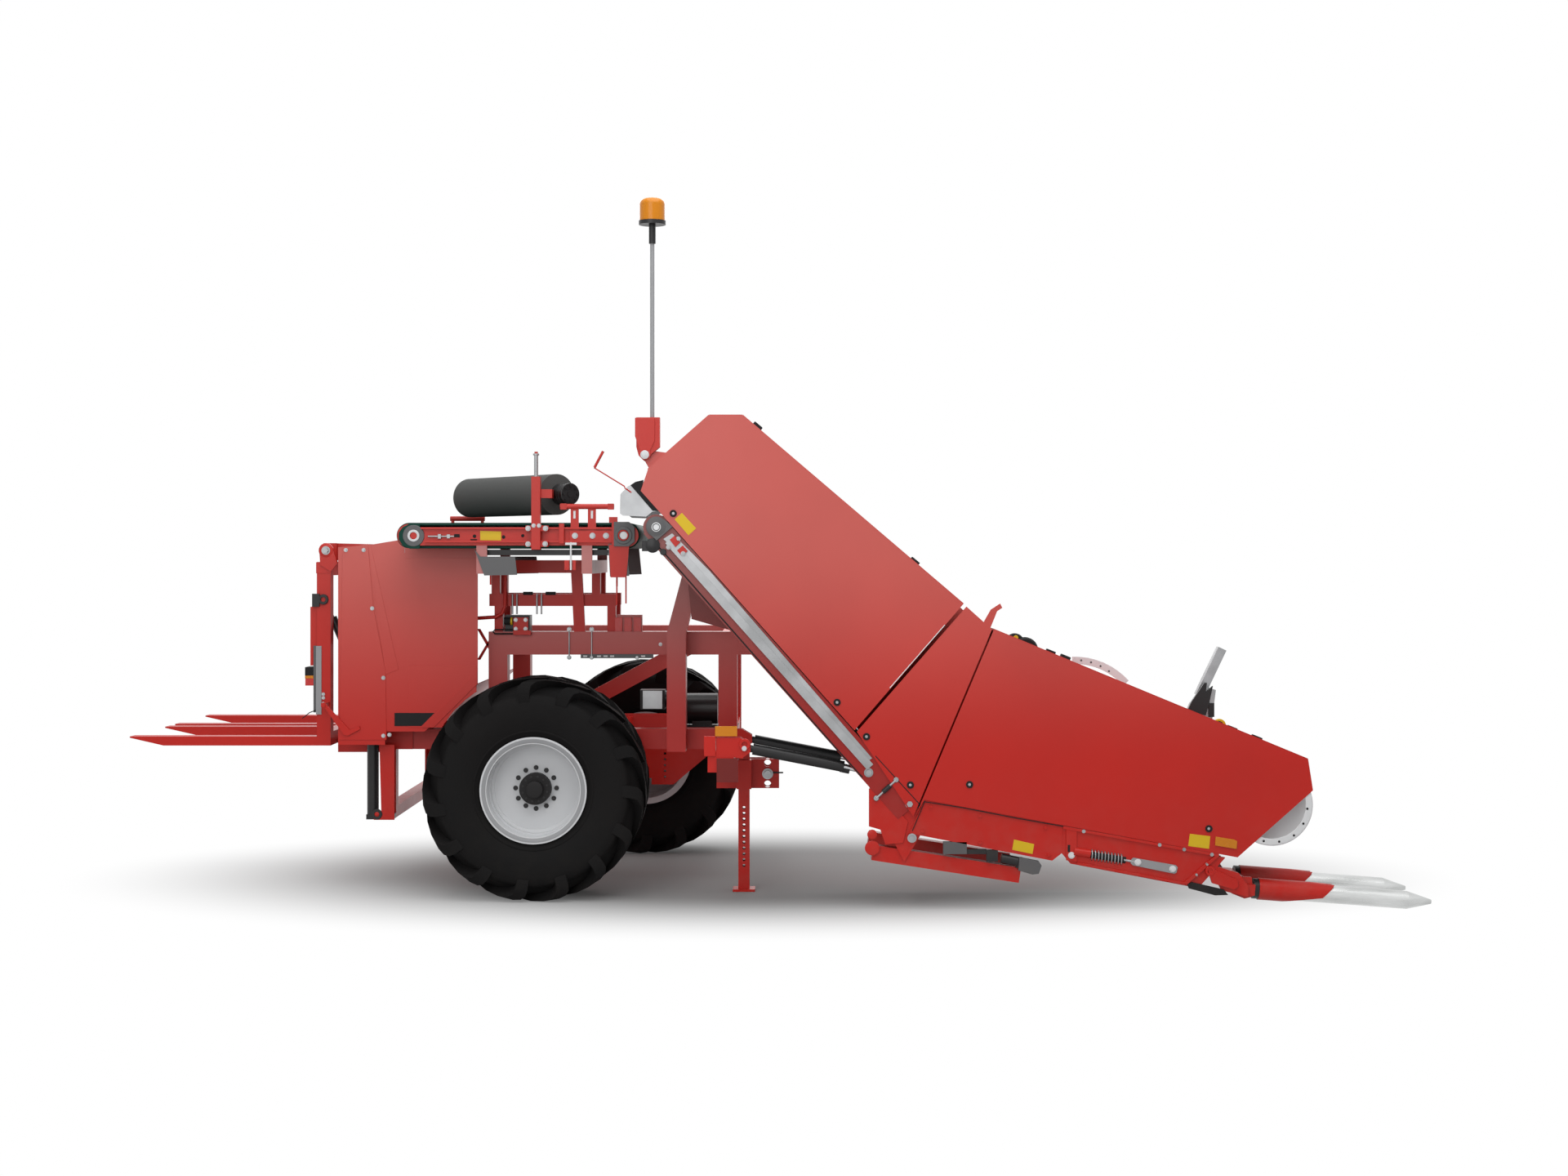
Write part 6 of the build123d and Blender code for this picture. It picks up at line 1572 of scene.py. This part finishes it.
# %% Float spring
SPRING_START = (1335, 1046.2)
SPRING_END = (1375, 1052.4)
SPRING_DEPTH = 0.012
SPRING_TURNS = 10
SPRING_STEPS = 14
SPRING_RADIUS = 0.031
SPRING_WIRE = 0.0038
start, end = (seen(u, v, BEAM + SPRING_DEPTH) for u, v in (SPRING_START, SPRING_END))
way = (end - start).normalized()
side = way.orthogonal().normalized()
up = way.cross(side)
coil = []
for step in range(SPRING_TURNS * SPRING_STEPS + 1):
    angle = 2 * pi * step / SPRING_STEPS
    along = step / (SPRING_TURNS * SPRING_STEPS)
    coil.append(start.lerp(end, along) + (side * cos(angle) + up * sin(angle)) * SPRING_RADIUS)
bm = bmesh.new()
add_path(bm, coil, SPRING_WIRE, 8)
fitting("float_spring", bm, "picking_unit", "steel", bevel=0)
print("spring:", SPRING_TURNS, "turns over", round((end - start).length, 3), "m")

# %% [markdown]
# ## Lid clips
# Rubber clips hold the lids along the top edges of the covers, on both sides of the unit. Each is a block
# that leans with the edge.

# %% Lid clips
CLIPS = ((927, 522, 40), (1120, 688, 40), (1305, 806, 22), (1540, 905, 22))
CLIP_SIZE = (0.056, 0.05, 0.03)
CLIP_INSET = 0.035
CLIP_BEVEL = 0.004
unit_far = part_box("front_covers")[1].y
bm = bmesh.new()
for u, v, slope in CLIPS:
    place = seen(u, v, COVER)
    for y in (COVER + CLIP_INSET, unit_far - CLIP_INSET):
        add_block(bm, (place.x, y, place.z), CLIP_SIZE, -slope)
fitting("lid_clips", bm, "picking_unit", "black_rubber", bevel=CLIP_BEVEL)
print("clips:", len(CLIPS) * 2)

# %% [markdown]
# ## The diverter's motor
# The diverter roller is driven by a hydraulic motor that stands out at its end. It gets an end flange
# with eight screws and a small cap, and two ribs round its body.

# %% The diverter's motor
MOTOR_END = Vector((-1.0936, -1.0406, 2.326))
MOTOR_WAY = Vector((0.6157, -0.788, 0))
UPWARDS = Vector((0, 0, 1))
MOTOR_RINGS = (
    # start behind the end face, length, radius
    (-0.004, 0.014, 0.0625),
    (0.03, 0.008, 0.062),
    (0.052, 0.008, 0.062),
)
MOTOR_RING_SHARES = ((0, 0.97), (0.2, 1), (0.8, 1), (1, 0.95))
MOTOR_CAP_RADIUS = 0.02
MOTOR_CAP_STAND = 0.008
MOTOR_SCREWS = 8
MOTOR_SCREW_CIRCLE = 0.047
MOTOR_SCREW_ACROSS = 0.012
bm = bmesh.new()
for behind, length, radius in MOTOR_RINGS:
    front = MOTOR_END - MOTOR_WAY * behind
    profile = [(share, radius * width) for share, width in MOTOR_RING_SHARES]
    add_turned(bm, front - MOTOR_WAY * length, front, profile, 32)
add_rod(bm, MOTOR_END, MOTOR_END + MOTOR_WAY * MOTOR_CAP_STAND, MOTOR_CAP_RADIUS)
fitting("diverter_motor_flange", bm, "chassis", "black_metal", bevel=0)
across = MOTOR_WAY.cross(UPWARDS)
flange_face = MOTOR_END - MOTOR_WAY * MOTOR_RINGS[0][0]
screws = []
for angle in turn_steps(MOTOR_SCREWS):
    out = (across * cos(angle) + UPWARDS * sin(angle)) * MOTOR_SCREW_CIRCLE
    screws.append((flange_face + out, MOTOR_WAY))
bolts("diverter_motor_screws", screws, "chassis", MOTOR_SCREW_ACROSS, finish="black_metal")
print("motor rings:", len(MOTOR_RINGS), "screws:", len(screws))

# %% [markdown]
# ## Tail lamp
# The lamp's solid is red. A dark housing covers its upper half and an amber band lies under that, so each
# is a block that stands just proud of the lamp over a share of its height.

# %% Tail lamp
LAMP_BANDS = (
    # name, finish, share of its height from and to
    ("dark", "black_rubber", 0.56, 1.03),
    ("amber", "amber_lens", 0.4, 0.56),
)
BAND_SHIFT = 0.001
BAND_PROUD = Vector((0.002, 0.004, 0))
lamp_low, lamp_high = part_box("tail_lamp")
lamp_middle = (lamp_low + lamp_high) / 2
lamp_size = lamp_high - lamp_low
for label, finish, low_share, high_share in LAMP_BANDS:
    middle_z = lamp_low.z + lamp_size.z * (low_share + high_share) / 2
    band_size = Vector((lamp_size.x, lamp_size.y, lamp_size.z * (high_share - low_share))) + BAND_PROUD
    bm = bmesh.new()
    add_block(bm, (lamp_middle.x - BAND_SHIFT, lamp_middle.y, middle_z), band_size)
    fitting(f"tail_lamp_{label}", bm, "fork_frame", finish)
print("lamp bands:", len(LAMP_BANDS))

# %% [markdown]
# ## Bolts and nuts
# Each row places hexagon heads at picture places on a surface. A row that gives a far face gets the same
# heads there too, on the machine's other side, looking away from the camera.

# %% Bolts and nuts
WALL_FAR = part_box("discharge_walls")[1].y
BEAM_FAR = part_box("front_beams")[1].y
PANEL_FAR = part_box("side_panels")[1].y
BOLT_ROWS = (
    # piece, body, depth, across, finish, far face or None, places
    ("guard_bolts", "chassis", GUARD - 0.004, 0.014, "steel", WALL_FAR, (
        (423.5, 673.5), (445.3, 673.5), (455.7, 745), (469.4, 830), (469.4, 901), (476.8, 899.7),
    )),
    ("lamp_bolts", "fork_frame", FORK - 0.003, 0.012, "steel", None, (
        (396, 850), (396, 854.5), (396, 861.5),
    )),
    ("fork_pin_bolt", "fork_frame", FORK - 0.012, 0.03, "steel", None, ((399, 674),)),
    ("adjuster_bolts", "picking_unit", COVER - 0.005, 0.016, "steel", None, (
        (830.4, 660), (818.6, 670), (836.5, 678),
    )),
    ("head_bolts", "picking_unit", SIDE, 0.03, "steel", None, (
        (1113.9, 984.3), (1116.7, 1026.2), (1063.6, 946),
    )),
    ("beam_bolts", "picking_unit", BEAM - 0.012, 0.012, "steel", BEAM_FAR, (
        (1327, 1018), (1420, 1034.6), (1450, 1040.2), (1484, 1046.4), (1478, 1058.5), (1464.8, 1070.8),
    )),
    ("link_bolts", "picking_unit", BEAM - 0.0095, 0.022, "white_drum", None, (
        (1393.3, 1055.8), (1435.8, 1064), (1312, 1047.3),
    )),
    ("panel_bolts", "picking_unit", SIDE, 0.016, "red_paint", PANEL_FAR, (
        (1140, 988), (1200, 999), (1280, 1013.6), (1130, 1018), (1200, 1032), (1284, 1047),
    )),
    ("clamp_bolts", "chassis", CONVEYOR - 0.04, 0.018, "steel", None, (
        (646.6, 647), (668, 647), (646.6, 666.2), (667.5, 666),
    )),
    ("post_bolts", "chassis", CONVEYOR - 0.057, 0.014, "steel", None, ((653.4, 643.6), (660, 643.6))),
    ("flat_bolts", "chassis", CONVEYOR - 0.012, 0.02, "steel", None, (
        (704, 656), (725.5, 656), (742, 656),
    )),
    ("ear_bolts", "chassis", OUTRIGGER, 0.022, "steel", None, ((868, 907), (868, 920))),
    ("rail_nuts", "chassis", RAILS - 0.004, 0.016, "steel", None, (
        (697, 770.5), (724.5, 770.5), (697, 805), (724.5, 805), (780, 805),
    )),
    ("valve_bolts", "chassis", RAILS - 0.01, 0.014, "steel", None, (
        (631.5, 759), (643.5, 759), (631.5, 770), (643.5, 770),
    )),
)
for name, body, depth, across, finish, far_y, places in BOLT_ROWS:
    heads = [(seen(u, v, depth), TO_CAMERA) for u, v in places]
    if far_y is not None:
        heads += [((place.x, far_y, place.z), FROM_CAMERA) for place, _ in heads]
    bolts(name, heads, body, across, finish=finish)
print("bolt rows:", len(BOLT_ROWS))
